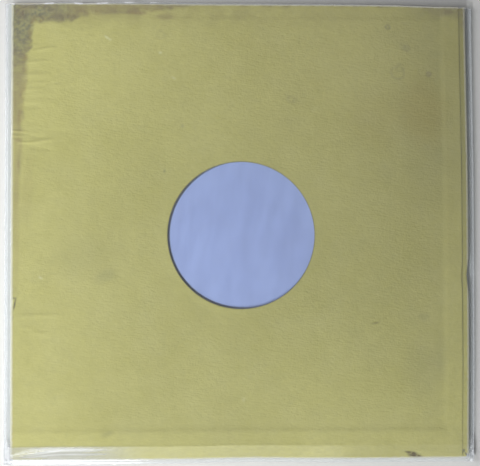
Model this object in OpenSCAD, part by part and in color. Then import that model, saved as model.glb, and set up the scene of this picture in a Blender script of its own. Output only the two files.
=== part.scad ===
// A twelve-inch record in its packing: a pressed disc with two paper labels, a folded paper sleeve,
// a die-cut card jacket and a welded clear film cover. It lies flat, face up, with every mouth at +Y.
// Lengths are in millimetres. The pieces are stacked along Z, from the cover's back film upwards.

/* [Disc] */
// Diameter of the pressed disc
disc_d = 301; // [299:0.5:303]
// Thickness over the label area, labels included
disc_t = 2.0; // [1.8:0.1:2.6]
// Diameter of the hole for the turntable's spindle
spindle_hole_d = 7.24; // [7.2:0.02:7.4]
// Depth of the smooth land below the label area, on each side
land_drop = 0.18; // [0.1:0.02:0.24]
// Depth of the cut bands below the smooth land
band_depth = 0.04; // [0.02:0.01:0.06]
// Number of cut bands on each side
band_count = 5; // [1:1:8]
// Width of the smooth land between two bands
band_gap = 1.0; // [0.6:0.1:1.4]
// Width of the plain run-out between the label and the last band
run_out_w = 10.5; // [9:0.5:16]
// Distance from the label's edge to the closed groove where the needle stops
lock_groove_room = 4.5; // [4:0.25:6]
// Width of that groove at the surface
lock_groove_w = 0.3; // [0.2:0.05:0.5]
// Depth of that groove
lock_groove_depth = 0.06; // [0.04:0.01:0.08]
// Width of the plain lead-in between the rim and the first band
lead_in_w = 4.5; // [4:0.25:7]
// Width of each band's sloped wall
band_wall = 0.1; // [0.05:0.05:0.2]
// Width of the raised bead at the rim
bead_w = 2.2; // [1.6:0.1:2.6]
// Radius of the rim's edge
rim_round = 0.6; // [0.3:0.1:0.8]

/* [Labels] */
// Diameter of a paper label
label_d = 100; // [92:1:102]
// Thickness of a paper label
label_t = 0.1; // [0.06:0.01:0.14]
// Width of the raised ring round the label
label_surround = 1.5; // [1:0.25:3]
// Width of the slope from that ring down to the smooth land
surround_slope = 1.2; // [0.6:0.2:2]
// Diameter at the middle of the pressed ring
press_ring_d = 33; // [28:1:60]
// Width of the pressed ring
press_ring_w = 1.2; // [0.8:0.1:2]
// Depth of the pressed ring
press_ring_depth = 0.15; // [0.08:0.01:0.2]

/* [Paper sleeve] */
// Thickness of the sleeve's paper
paper_t = 0.1; // [0.08:0.01:0.14]
// Room beside the disc, out to the sleeve's side folds
sleeve_side_room = 4; // [3:0.5:6]
// Room below the disc, down to the sleeve's bottom fold
sleeve_foot_room = 2.55; // [2:0.25:5]
// How far the sleeve's mouth reaches past the disc
sleeve_mouth_cover = 0.45; // [0.25:0.1:6]
// Width of the sleeve's side flaps, from the fold
sleeve_flap_w = 15; // [13:1:20]
// How much shorter a side flap's free edge is, at each end
sleeve_flap_taper = 6; // [3:1:10]

/* [Card jacket] */
// Thickness of the jacket's card
card_t = 0.4; // [0.3:0.05:0.6]
// Room between the label's edge and the window cut through both panels
window_room = 0.5; // [-4:0.5:6]
// Room beside the sleeve, out to the jacket's side folds
jacket_side_room = 3; // [2.5:0.25:6]
// How far the jacket's back panel reaches past the sleeve's mouth
jacket_mouth_cover = 8.8; // [4:0.2:14]
// How far the front panel's mouth edge stops short of the back panel's
mouth_step = 0.2; // [0.1:0.1:4]
// Width of the right glue flap, from the fold
right_flap_w = 16; // [15:1:20]
// Width of the bottom glue flap, from the fold
bottom_flap_w = 18.5; // [15:0.5:22]
// How much shorter a glue flap's free edge is, at its outer end
jacket_flap_taper = 6; // [3:1:10]
// Strip of the right flap that the front panel leaves bare
front_setback = 5; // [3:0.5:6]
// Distance from the bottom fold to the front panel's lower edge
front_foot_setback = 1.2; // [0.6:0.1:3]

/* [Film cover] */
// Thickness of the clear film
film_t = 0.1; // [0.06:0.01:0.15]
// Sideways run of the film from the jacket's edge down to the weld
film_run = 2.6; // [1.5:0.1:4]
// Width of the two side welds
weld_w = 1.6; // [0.8:0.1:3]
// How far the cover's mouth reaches past the jacket's
cover_mouth_reach = 1.1; // [0.5:0.1:6]

/* [Clearances] */
// Air between two layers that slide past each other
layer_gap = 0.15; // [0.1:0.05:0.3]
// Air between the jacket's front panel and the film above it
film_gap = 0.3; // [0.15:0.05:0.6]
// Thickness of the glue between two layers
glue_t = 0.04; // [0.02:0.01:0.08]
// Width of a glue line
glue_w = 8; // [5:1:8]
// Margin between a glue line and its flap's free edge
glue_margin = 2; // [1:0.5:2]
// Distance from a glue line's end to the corner where its flap ends
glue_end = 12; // [11:1:20]
// Room between the jacket's bottom fold and the sleeve's
foot_gap = 0.3; // [0.25:0.05:0.6]
// Room between the jacket's folds and the film's bend
cover_gap = 0.2; // [0.15:0.05:0.6]
// Gap between two flaps that meet at a corner
mitre_gap = 0.5; // [0.3:0.1:1.5]

/* [Hidden] */
$fn = 96;

// The stack along Z: the underside of each layer
back_panel_z = film_t + layer_gap;
sleeve_flap_z = back_panel_z + card_t + layer_gap;
back_leaf_z = sleeve_flap_z + paper_t + glue_t;
disc_z = back_leaf_z + paper_t + layer_gap;
front_leaf_z = disc_z + disc_t + layer_gap;
jacket_flap_z = front_leaf_z + paper_t + layer_gap;
front_panel_z = jacket_flap_z + card_t + glue_t;
cover_h = front_panel_z + card_t + film_gap + film_t;

// Outer heights of the folds, from the lower layer's underside to the upper layer's top
spine_fold_h = front_panel_z + card_t - back_panel_z;
flap_fold_h = jacket_flap_z + card_t - back_panel_z;
sleeve_side_fold_h = front_leaf_z + paper_t - sleeve_flap_z;
sleeve_foot_fold_h = front_leaf_z + paper_t - back_leaf_z;

// Widths, each from the piece inside it
sleeve_w = disc_d + 2 * sleeve_side_room;
jacket_w = sleeve_w + 2 * jacket_side_room;

// The film's bends: it leaves the flat films at bend_x and meets the other leaf at half height
film_mid_z = cover_h / 2;
film_rise = film_mid_z - film_t;
film_slope = atan2(film_rise, film_run);
bend_step = film_t * tan(film_slope / 2);
bend_x = jacket_w / 2 + cover_gap;
pinch_x = bend_x + film_run;
weld_x = pinch_x + bend_step;
cover_x = weld_x + weld_w;
fold_nose = film_t / 2;

// Window over the label, in both panels of the jacket
window_d = label_d + 2 * window_room;

// Lengths along Y, from the cover's bottom fold to its mouth, centred on the origin
cover_foot = cover_gap + film_run + bend_step + fold_nose;
sleeve_l = disc_d + sleeve_foot_room + sleeve_mouth_cover;
jacket_l = card_t + foot_gap + sleeve_l + jacket_mouth_cover;
cover_l = cover_foot + jacket_l + cover_mouth_reach;
cover_y = -cover_l / 2;
jacket_y = cover_y + cover_foot;
sleeve_y = jacket_y + card_t + foot_gap;
disc_y = sleeve_y + sleeve_foot_room + disc_d / 2;
sleeve_mouth_y = sleeve_y + sleeve_l;
jacket_mouth_y = sleeve_mouth_y + jacket_mouth_cover;
front_mouth_y = jacket_mouth_y - mouth_step;
cover_mouth_y = jacket_mouth_y + cover_mouth_reach;
film_foot_y = jacket_y - cover_gap;

// Where the panels and leaves meet their folds
spine_x = -jacket_w / 2 + spine_fold_h / 2;
right_fold_x = jacket_w / 2 - flap_fold_h / 2;
bottom_fold_y = jacket_y + flap_fold_h / 2;
front_panel_x = jacket_w / 2 - front_setback;
front_panel_y = jacket_y + front_foot_setback;
leaf_x = sleeve_w / 2 - sleeve_side_fold_h / 2;
leaf_y = sleeve_y + sleeve_foot_fold_h / 2;

// Widths of the flaps beyond their folds' half rings, and the places of their free edges
right_flap_flat = right_flap_w - flap_fold_h / 2;
bottom_flap_flat = bottom_flap_w - flap_fold_h / 2;
right_flap_x = jacket_w / 2 - right_flap_w;
bottom_flap_y = jacket_y + bottom_flap_w;
sleeve_flap_flat = sleeve_flap_w - sleeve_side_fold_h / 2;
sleeve_flap_x = sleeve_w / 2 - sleeve_flap_w;

// Heights and radii of the disc's profile, above its middle plane
label_top = disc_t / 2;
land_top = label_top - land_drop;
rim_r = disc_d / 2;
rim_steps = 5;
lock_groove_r = label_d / 2 + lock_groove_room;
first_band_r = label_d / 2 + run_out_w;
band_pitch = (rim_r - lead_in_w - first_band_r) / band_count;

film_colour = [0.86, 0.91, 0.95, 0.3];
card_colour = [0.73, 0.71, 0.49];
card_inside_colour = [0.82, 0.80, 0.72];
paper_colour = [0.60, 0.67, 0.83];
glue_colour = [0.88, 0.86, 0.74];
vinyl_colour = [0.05, 0.05, 0.055];
label_colour = [0.90, 0.88, 0.80];

// Carries an XZ outline along Y
module along_y(from, to) {
    translate([0, to, 0]) rotate([90, 0, 0]) linear_extrude(to - from) children();
}

// Carries a YZ outline along X
module along_x(from, to) {
    translate([from, 0, 0]) rotate([90, 0, 90]) linear_extrude(to - from) children();
}

// Flat sheet between two corners
module sheet(low, high, z, t) {
    translate([low[0], low[1], z]) cube([high[0] - low[0], high[1] - low[1], t]);
}

// Half ring that joins two layers, with its back to -X and its ends on x = 0
module half_ring(h, wall) {
    intersection() {
        difference() {
            circle(d = h);
            circle(d = h - 2 * wall);
        }
        translate([-h, -h / 2]) square(h);
    }
}

// Flap beside a straight fold on x = 0: it runs from y = 0 to y = l and reaches to -X
module flap(w, l, foot_cut, mouth_cut, t) {
    linear_extrude(t) polygon([[0, 0], [0, l], [-w, l - mouth_cut], [-w, foot_cut]]);
}

// Outline of the film where both leaves slope together and meet in a lip of the given length,
// whose end reaches half_end above and below the middle
module film_seam(lip, half_end) {
    polygon([
        [bend_x, 0],
        [bend_x + bend_step, 0],
        [weld_x, film_mid_z - film_t],
        [weld_x + lip, film_mid_z - half_end],
        [weld_x + lip, film_mid_z + half_end],
        [weld_x, film_mid_z + film_t],
        [bend_x + bend_step, cover_h],
        [bend_x, cover_h],
        [bend_x, cover_h - film_t],
        [pinch_x, film_mid_z],
        [bend_x, film_t]
    ]);
}

// The cover's right side, cut off where its slopes meet those of the bottom fold
module side_seam() {
    intersection() {
        along_y(cover_y, cover_mouth_y) film_seam(weld_w, film_t);
        linear_extrude(cover_h)
            polygon([
                [bend_x, film_foot_y],
                [bend_x + film_foot_y - cover_y, cover_y],
                [cover_x, cover_y],
                [cover_x, cover_mouth_y],
                [bend_x, cover_mouth_y]
            ]);
    }
}

module cover_front_film() {
    color(film_colour)
        sheet([-bend_x, film_foot_y], [bend_x, cover_mouth_y], cover_h - film_t, film_t);
}

module cover_back_film() {
    color(film_colour) sheet([-bend_x, film_foot_y], [bend_x, cover_mouth_y], 0, film_t);
}

module cover_left_weld() {
    color(film_colour) mirror([1, 0, 0]) side_seam();
}

module cover_right_weld() {
    color(film_colour) side_seam();
}

module cover_bottom_fold() {
    corner = film_foot_y - cover_y;
    color(film_colour)
        intersection() {
            along_x(-bend_x - corner, bend_x + corner)
                translate([film_foot_y + bend_x, 0]) mirror([1, 0]) film_seam(fold_nose, fold_nose);
            linear_extrude(cover_h)
                polygon([
                    [-bend_x, film_foot_y],
                    [bend_x, film_foot_y],
                    [bend_x + corner, cover_y],
                    [-bend_x - corner, cover_y]
                ]);
        }
}

// Card panel with the round window over the disc's label
module windowed_panel(low, high, z) {
    difference() {
        sheet(low, high, z, card_t);
        translate([0, disc_y, z - card_t]) cylinder(d = window_d, h = 3 * card_t);
    }
}

module jacket_front_panel() {
    color(card_colour)
        windowed_panel([spine_x, front_panel_y], [front_panel_x, front_mouth_y], front_panel_z);
}

module jacket_back_panel() {
    color(card_colour)
        windowed_panel([spine_x, bottom_fold_y], [right_fold_x, jacket_mouth_y], back_panel_z);
}

module jacket_spine_fold() {
    color(card_colour)
        along_y(front_panel_y, front_mouth_y)
            translate([spine_x, back_panel_z + spine_fold_h / 2]) half_ring(spine_fold_h, card_t);
}

module jacket_right_fold() {
    color(card_colour)
        along_y(bottom_fold_y, front_mouth_y)
            translate([right_fold_x, back_panel_z + flap_fold_h / 2])
                mirror([1, 0]) half_ring(flap_fold_h, card_t);
}

module jacket_bottom_fold() {
    color(card_colour)
        along_x(spine_x, right_fold_x)
            translate([bottom_fold_y, back_panel_z + flap_fold_h / 2])
                half_ring(flap_fold_h, card_t);
}

module jacket_right_flap() {
    color(card_colour)
        translate([right_fold_x, bottom_fold_y + mitre_gap, jacket_flap_z])
            flap(right_flap_flat, front_mouth_y - bottom_fold_y - mitre_gap, bottom_flap_flat,
                 jacket_flap_taper, card_t);
}

module jacket_bottom_flap() {
    color(card_colour)
        translate([right_fold_x, bottom_fold_y, jacket_flap_z])
            rotate([0, 0, 90]) mirror([1, 0, 0])
                flap(bottom_flap_flat, right_fold_x - spine_x, right_flap_flat,
                     jacket_flap_taper, card_t);
}

module jacket_glue_lines() {
    line_x = right_flap_x + glue_margin;
    line_y = bottom_flap_y - glue_margin;
    glue_z = jacket_flap_z + card_t;
    color(glue_colour) {
        sheet([line_x, bottom_flap_y + glue_margin],
              [line_x + glue_w, front_mouth_y - glue_end], glue_z, glue_t);
        sheet([spine_x + glue_end, line_y - glue_w],
              [right_flap_x - glue_margin, line_y], glue_z, glue_t);
    }
}

module sleeve_front_leaf() {
    color(paper_colour) sheet([-leaf_x, leaf_y], [leaf_x, sleeve_mouth_y], front_leaf_z, paper_t);
}

module sleeve_back_leaf() {
    color(paper_colour) sheet([-leaf_x, leaf_y], [leaf_x, sleeve_mouth_y], back_leaf_z, paper_t);
}

module sleeve_bottom_fold() {
    color(paper_colour)
        along_x(-leaf_x, leaf_x)
            translate([leaf_y, back_leaf_z + sleeve_foot_fold_h / 2])
                half_ring(sleeve_foot_fold_h, paper_t);
}

module sleeve_left_fold() {
    color(paper_colour)
        along_y(leaf_y, sleeve_mouth_y)
            translate([-leaf_x, sleeve_flap_z + sleeve_side_fold_h / 2])
                half_ring(sleeve_side_fold_h, paper_t);
}

module sleeve_right_fold() {
    color(paper_colour) mirror([1, 0, 0]) sleeve_left_fold();
}

module sleeve_right_flap() {
    color(paper_colour)
        translate([leaf_x, leaf_y, sleeve_flap_z])
            flap(sleeve_flap_flat, sleeve_mouth_y - leaf_y, sleeve_flap_taper, sleeve_flap_taper,
                 paper_t);
}

module sleeve_left_flap() {
    color(paper_colour) mirror([1, 0, 0]) sleeve_right_flap();
}

module sleeve_glue_lines() {
    line_x = sleeve_flap_x + glue_margin;
    color(glue_colour)
        for (side = [0, 1])
            mirror([side, 0, 0])
                sheet([line_x, leaf_y + glue_end],
                      [line_x + glue_w, sleeve_mouth_y - glue_end],
                      sleeve_flap_z + paper_t, glue_t);
}

// Line of the pressed label area from the spindle hole to the label's edge, at height h
function label_line(h) = [
    [spindle_hole_d / 2, h],
    [(press_ring_d - press_ring_w) / 2, h],
    [(press_ring_d - press_ring_w) / 2 + press_ring_depth, h - press_ring_depth],
    [(press_ring_d + press_ring_w) / 2 - press_ring_depth, h - press_ring_depth],
    [(press_ring_d + press_ring_w) / 2, h],
    [label_d / 2, h]
];

// Cut bands of one side, as shallow steps from the inner groove to the outer one
function band_line() = [
    for (i = [0:band_count - 1])
        let (low = first_band_r + i * band_pitch, high = low + band_pitch - band_gap)
            each [
                [low, land_top],
                [low + band_wall, land_top - band_depth],
                [high - band_wall, land_top - band_depth],
                [high, land_top]
            ]
];

// Quarter round from the bead's top to the rim
function rim_line() = [
    for (i = [0:rim_steps])
        let (turn = 90 - i * 90 / rim_steps)
            [rim_r - rim_round + rim_round * cos(turn), label_top - rim_round + rim_round * sin(turn)]
];

// Raised ring round the label, its slope, and the closed groove beyond it
function surround_line() = [
    [label_d / 2, label_top],
    [label_d / 2 + label_surround, label_top],
    [label_d / 2 + label_surround + surround_slope, land_top],
    [lock_groove_r - lock_groove_w / 2, land_top],
    [lock_groove_r, land_top - lock_groove_depth],
    [lock_groove_r + lock_groove_w / 2, land_top]
];

// Upper line of the disc's section, from the spindle hole to the rim
function face_line() = concat(
    label_line(label_top - label_t),
    surround_line(),
    band_line(),
    [[rim_r - bead_w, land_top]],
    rim_line()
);

// The same line seen from the other side, and walked back to the hole
function flipped(line) = [for (i = [len(line) - 1:-1:0]) [line[i][0], -line[i][1]]];

module disc() {
    color(vinyl_colour)
        translate([0, disc_y, disc_z + disc_t / 2])
            rotate_extrude() polygon(concat(face_line(), flipped(face_line())));
}

// Paper label pressed into the disc, so that its outer face is level with the surround
module label() {
    line = label_line(label_top);
    rotate_extrude()
        polygon(concat(line, [for (i = [len(line) - 1:-1:0]) line[i] - [0, label_t]]));
}

module label_side_a() {
    color(label_colour) translate([0, disc_y, disc_z + disc_t / 2]) label();
}

module label_side_b() {
    color(label_colour) translate([0, disc_y, disc_z + disc_t / 2]) mirror([0, 0, 1]) label();
}

cover_front_film();
cover_back_film();
cover_left_weld();
cover_right_weld();
cover_bottom_fold();
jacket_front_panel();
jacket_back_panel();
jacket_spine_fold();
jacket_right_fold();
jacket_right_flap();
jacket_bottom_fold();
jacket_bottom_flap();
jacket_glue_lines();
sleeve_front_leaf();
sleeve_back_leaf();
sleeve_bottom_fold();
sleeve_left_fold();
sleeve_right_fold();
sleeve_left_flap();
sleeve_right_flap();
sleeve_glue_lines();
disc();
label_side_a();
label_side_b();
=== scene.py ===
"""A twelve-inch record in its packing, lying face up: a clear film cover, a stained card jacket
with a round window, a paper sleeve with glue lines, and the pressed disc with its two labels.

Shapes are worked out in millimetres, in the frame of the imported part, and go into meshes in metres.
"""

from __future__ import annotations

import logging
from dataclasses import dataclass
from enum import Enum

import bpy
import numpy as np
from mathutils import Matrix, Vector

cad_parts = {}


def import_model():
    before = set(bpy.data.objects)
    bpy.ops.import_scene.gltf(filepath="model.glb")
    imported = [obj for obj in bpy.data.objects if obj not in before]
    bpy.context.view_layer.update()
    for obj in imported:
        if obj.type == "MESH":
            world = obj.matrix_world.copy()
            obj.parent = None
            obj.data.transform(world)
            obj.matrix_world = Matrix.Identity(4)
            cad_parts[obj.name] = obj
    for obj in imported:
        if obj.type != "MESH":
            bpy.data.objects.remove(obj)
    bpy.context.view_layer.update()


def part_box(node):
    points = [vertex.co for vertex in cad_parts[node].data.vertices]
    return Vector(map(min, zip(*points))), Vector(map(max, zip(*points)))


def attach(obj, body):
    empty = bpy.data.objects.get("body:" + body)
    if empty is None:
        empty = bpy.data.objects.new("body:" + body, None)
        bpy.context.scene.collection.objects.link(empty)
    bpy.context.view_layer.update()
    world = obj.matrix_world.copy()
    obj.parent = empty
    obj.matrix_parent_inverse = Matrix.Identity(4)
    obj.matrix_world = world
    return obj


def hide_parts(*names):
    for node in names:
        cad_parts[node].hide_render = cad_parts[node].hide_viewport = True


Array = np.ndarray
Colour = tuple[float, float, float, float]
Point = tuple[float, float]
MM = 0.001
LOG = logging.getLogger("record")
# Name of the attribute that keeps each point's place before the outline was worn
UNWORN = "unworn"
# Y of the middle of the disc, its labels and the jacket's window, and the window's radius
MIDDLE_Y, WINDOW_RADIUS = -2.1, 50.5
# Y where the strip along the bottom edge, with its painted highlight, is whole, and where it ends
STRIP_WHOLE, STRIP_END = -147.4, -146.2
# Thickness of a drawn glue line, which leaves air on both sides of it
GLUE = 0.036


class Body(Enum):
    """The moving bodies of the part, by their names in the frame."""

    COVER = "cover"
    JACKET = "jacket"
    SLEEVE = "paper_sleeve"
    DISC = "disc"


class Side(Enum):
    """The disc's two sides, as the sign of their outward direction along Z."""

    A = 1
    B = -1


class Hand(Enum):
    """The left and the right side, as the sign of their direction along X."""

    LEFT = -1
    RIGHT = 1


def srgb(red: float, green: float, blue: float) -> Colour:
    """Turns a colour of 0 to 255 as a screen shows it into the linear values that shaders take.

    Args:
        red: Red, 0 to 255.
        green: Green, 0 to 255.
        blue: Blue, 0 to 255.

    Returns:
        The linear colour with a full alpha.
    """
    share = np.array([red, green, blue]) / 255
    linear = np.where(share <= 0.04045, share / 12.92, ((share + 0.055) / 1.055) ** 2.4)
    return (*(float(v) for v in linear), 1.0)


def smooth(value: Array | float, low: float, high: float) -> Array:
    """Rises from 0 at low to 1 at high, level at both ends: 3t squared less 2t cubed."""
    t = np.clip((np.asarray(value, float) - low) / (high - low), 0, 1)
    return t * t * (3 - 2 * t)


def lines(start: float, *stretches: tuple[float, float]) -> Array:
    """Places the rows or columns of a grid along stretches that follow each other.

    Args:
        start: The first place.
        *stretches: The end and the widest spacing of each stretch.

    Returns:
        The places in order, each once.
    """
    places = [np.array([start], float)]
    for end, step in stretches:
        count = max(2, int(np.ceil(abs(end - start) / step)) + 1)
        places.append(np.linspace(start, end, count)[1:])
        start = end
    return np.concatenate(places)


def between(low: Array | float, high: Array, level: Array) -> Array:
    """Gives the height at a level between two layers: -1 is the lower one and 1 the upper one."""
    return (high + low) / 2 + level * (high - low) / 2


def span(*nodes: str) -> tuple[Array, Array]:
    """Gives the lowest and the highest corner, in millimetres, of the box round solids."""
    boxes = np.array([[list(corner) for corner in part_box(node)] for node in nodes]) / MM
    return boxes[:, 0].min(axis=0), boxes[:, 1].max(axis=0)


@dataclass(frozen=True)
class Ripples:
    """Soft random waves: a sum of sines of seeded directions, lengths and phases.

    Attributes:
        seed: Seed of the random draws.
        shortest: Shortest wave length.
        longest: Longest wave length.
        heading: Direction in which the waves follow each other, in degrees from +X.
        spread: How far single waves turn from that direction, in degrees.
        count: Number of sines.
    """

    seed: int
    shortest: float
    longest: float
    heading: float = 0.0
    spread: float = 180.0
    count: int = 14

    def at(self, x: Array, y: Array) -> Array:
        """Gives the height of the waves at each point, about -1 to 1.

        Args:
            x: X of the points.
            y: Y of the points.

        Returns:
            The height, about -1 to 1.
        """
        draw = np.random.default_rng(self.seed)
        turn = np.radians(self.heading + self.spread * draw.uniform(-1, 1, self.count))
        length = np.exp(draw.uniform(np.log(self.shortest), np.log(self.longest), self.count))
        phase = draw.uniform(0, 2 * np.pi, self.count)
        along = np.multiply.outer(x, np.cos(turn)) + np.multiply.outer(y, np.sin(turn))
        height = np.sin(2 * np.pi * along / length + phase) * (length / self.longest) ** 0.6
        return height.sum(axis=-1) / np.sqrt(self.count)


@dataclass(frozen=True)
class Crease:
    """A straight wrinkle: a rounded ridge, or a trough where rise is negative, fading at both ends.

    Attributes:
        start: One end, as x and y.
        end: The other end.
        width: Half its width.
        rise: Its height at the middle.
    """

    start: Point
    end: Point
    width: float
    rise: float

    def at(self, x: Array, y: Array) -> Array:
        """Gives the height at each point: a bell across the line times a fade past its ends.

        Args:
            x: X of the points.
            y: Y of the points.

        Returns:
            The height.
        """
        start, end = np.array(self.start), np.array(self.end)
        length = np.hypot(*(end - start))
        ahead = (end - start) / length
        along = (x - start[0]) * ahead[0] + (y - start[1]) * ahead[1]
        across = (y - start[1]) * ahead[0] - (x - start[0]) * ahead[1]
        ends = smooth(along, -2, length * 0.25) * (1 - smooth(along, length * 0.6, length + 2))
        return self.rise * ends * np.exp(-((across / self.width) ** 2))


@dataclass
class Grid:
    """A surface as rows and columns of points. A row runs along the columns, and the face between
    them points along the column direction crossed with the row direction.

    Attributes:
        x: X of each point.
        y: Y of each point.
        z: Z of each point.
        kept: Which squares between the points are faces. None keeps them all.
    """

    x: Array
    y: Array
    z: Array
    kept: Array | None = None

    def faces(self, first: int) -> Array:
        """Gives the corner numbers of the kept squares, counted from first.

        Args:
            first: Number of the grid's first point in the mesh.

        Returns:
            Four corner numbers for each square.
        """
        index = first + np.arange(self.x.size).reshape(self.x.shape)
        quads = np.stack([index[:-1, :-1], index[:-1, 1:], index[1:, 1:], index[1:, :-1]], axis=-1)
        return quads.reshape(-1, 4) if self.kept is None else quads[self.kept]

    def flipped(self) -> Grid:
        """Gives a whole grid with its columns in reverse, so that its faces point the other way."""
        return Grid(self.x[:, ::-1], self.y[:, ::-1], self.z[:, ::-1])


@dataclass(frozen=True)
class RoundWindow:
    """A round hole in a square grid. The square ring of lines at the radius is pulled in onto the
    circle: a point moves to the circle of its own ring by the share of its greater coordinate to
    its distance, in full at the hole and fading out at reach times the radius.

    Attributes:
        x: X of the middle.
        y: Y of the middle.
        radius: Radius of the hole.
        reach: Where the pull ends, in radii.
        steps: Lines across the hole.
    """

    x: float
    y: float
    radius: float
    reach: float = 1.6
    steps: int = 26

    def block(self, middle: float) -> Array:
        """Gives the lines through the hole, which meet its edge at even angles."""
        angles = np.linspace(-np.pi / 4, np.pi / 4, self.steps + 1)
        return middle + self.radius * np.tan(angles)

    def cut(self, x: Array, y: Array) -> tuple[Array, Array, Array]:
        """Pulls a grid onto the hole.

        Args:
            x: X of the grid's points.
            y: Y of the grid's points.

        Returns:
            The new x and y, and which squares stay.
        """
        dx, dy = x - self.x, y - self.y
        ring = np.maximum(abs(dx), abs(dy))
        share = ring / np.maximum(np.hypot(dx, dy), 1e-9)
        pull = 1 - smooth(ring, self.radius, self.radius * self.reach)
        scale = 1 + pull * (share - 1)
        inside = ring < self.radius + 1e-6
        kept = ~(inside[:-1, :-1] & inside[1:, :-1] & inside[:-1, 1:] & inside[1:, 1:])
        return self.x + dx * scale, self.y + dy * scale, kept


def half_loop(count: int, power: float = 0.8) -> tuple[Array, Array]:
    """Walks a fold's section from its lower end round to its upper end, outwards first: a half
    ellipse whose sides are squared, by the power of its sine and cosine.

    Args:
        count: Number of points, both ends among them.
        power: 1 for an ellipse, and less for a flatter, sharper fold.

    Returns:
        The reach outwards, 0 to 1, and the height, -1 to 1.
    """
    turn = np.linspace(-np.pi / 2, np.pi / 2, count)
    reach, height = np.cos(turn), np.sin(turn)
    reach[[0, -1]] = 0
    return reach**power, np.sign(height) * abs(height) ** power


def move_ends(y: Array, low: Array, high: Array) -> Array:
    """Moves the first and the last row of a grid to new places. The rows near them follow, less
    and less with their distance, over three times the shift and 8 mm at least.

    Args:
        y: Y of the grid's points, rising along the rows.
        low: New place of the first row, for each column.
        high: New place of the last row, for each column.

    Returns:
        The moved y.
    """
    first, last = y[0], y[-1]
    reach_low = np.maximum(8, 3 * abs(low - first))
    reach_high = np.maximum(8, 3 * abs(high - last))
    pull_low = np.clip(1 - (y - first) / reach_low, 0, 1)
    pull_high = np.clip(1 - (last - y) / reach_high, 0, 1)
    return y + (low - first) * pull_low + (high - last) * pull_high


@dataclass(frozen=True)
class WornOutline:
    """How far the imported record's edges lie inside straight lines. It is handled and bent a little,
    so the film, the card and the paper inside it share these insets.

    Attributes:
        right: Insets of the right edge at its mouth end and at its foot end.
        top: Insets of the mouth edge along its middle and at its right end.
        foot: Insets of the bottom edge at its left end and at its right end.
        bulge: Further inset of the bottom edge, its place and half its length.
    """

    right: tuple[float, float] = (1.35, 0.5)
    top: tuple[float, float] = (0.2, 1.1)
    foot: tuple[float, float] = (0.75, 0.45)
    bulge: tuple[float, float, float] = (0.6, 6.0, 35.0)

    def at(self, x: Array, y: Array) -> tuple[Array, Array]:
        """Gives the place to which each point moves. The insets fade out towards the window.

        Args:
            x: X of the points.
            y: Y of the points.

        Returns:
            The new x and y.
        """
        right = self.right[0] * smooth(y, 20, 165) + self.right[1] * (1 - smooth(y, -157, -80))
        top = self.top[0] * smooth(x, -98, -30) + self.top[1] * smooth(x, 90, 158)
        foot = self.foot[0] + (self.foot[1] - self.foot[0]) * smooth(x, 0, 90)
        rise, middle, half = self.bulge
        foot = foot + rise * np.exp(-(((x - middle) / half) ** 2))
        return (x - right * smooth(x, 60, 157),
                y + foot * (1 - smooth(y, -156, -95)) - top * smooth(y, 95, 157))


OUTLINE = WornOutline()


def make_piece(
    name: str,
    grids: list[Grid],
    wall: float,
    finishes: list[bpy.types.Material],
    body: Body,
    nodes: list[str],
    crease_angle: float = 50.0,
) -> bpy.types.Object:
    """Joins grids into one mesh, gives it its wall and finishes, and hands it to the frame.

    Args:
        name: Name of the piece.
        grids: The surfaces. Points at the same place become one.
        wall: Thickness of the sheet, half on each side of the surface. 0 leaves a closed surface.
        finishes: The face's finish, then the back's and the cut edge's where they differ.
        body: The body that the piece moves with.
        nodes: The solids that it stands for.
        crease_angle: Edges sharper than this, in degrees, stay sharp.

    Returns:
        The piece.
    """
    points = np.concatenate([np.stack([g.x, g.y, g.z], axis=-1).reshape(-1, 3) for g in grids])
    firsts = np.cumsum([0] + [g.x.size for g in grids])
    quads = np.concatenate([g.faces(first) for g, first in zip(grids, firsts)])
    _, kept, number = np.unique(
        np.round(points, 3), axis=0, return_index=True, return_inverse=True
    )
    points, quads = points[kept], number.reshape(-1)[quads]
    used, quads = np.unique(quads, return_inverse=True)
    points, quads = points[used] * MM, quads.reshape(-1, 4)
    unworn = points.copy()
    if body is not Body.DISC:
        points[:, :2] = np.stack(OUTLINE.at(*(points[:, :2] / MM).T), axis=-1) * MM

    mesh = bpy.data.meshes.new(name)
    mesh.from_pydata(points.tolist(), [], quads.tolist())
    mesh.attributes.new(UNWORN, "FLOAT_VECTOR", "POINT").data.foreach_set("vector", unworn.ravel())
    piece = bpy.data.objects.new(name, mesh)
    bpy.context.scene.collection.objects.link(piece)
    for finish in finishes:
        mesh.materials.append(finish)
    mesh.validate()
    if wall > 0:
        shell = piece.modifiers.new("wall", "SOLIDIFY")
        shell.thickness = wall * MM
        shell.offset = 0
        shell.material_offset = min(1, len(finishes) - 1)
        shell.material_offset_rim = min(2, len(finishes) - 1)
        bpy.context.view_layer.update()
        solid = bpy.data.meshes.new_from_object(
            piece.evaluated_get(bpy.context.evaluated_depsgraph_get())
        )
        piece.modifiers.clear()
        piece.data = solid
        bpy.data.meshes.remove(mesh)
        solid.name = name
    piece.data.shade_smooth()
    piece.data.set_sharp_from_angle(angle=np.radians(crease_angle))
    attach(piece, body.value)
    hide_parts(*nodes)
    return piece


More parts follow.
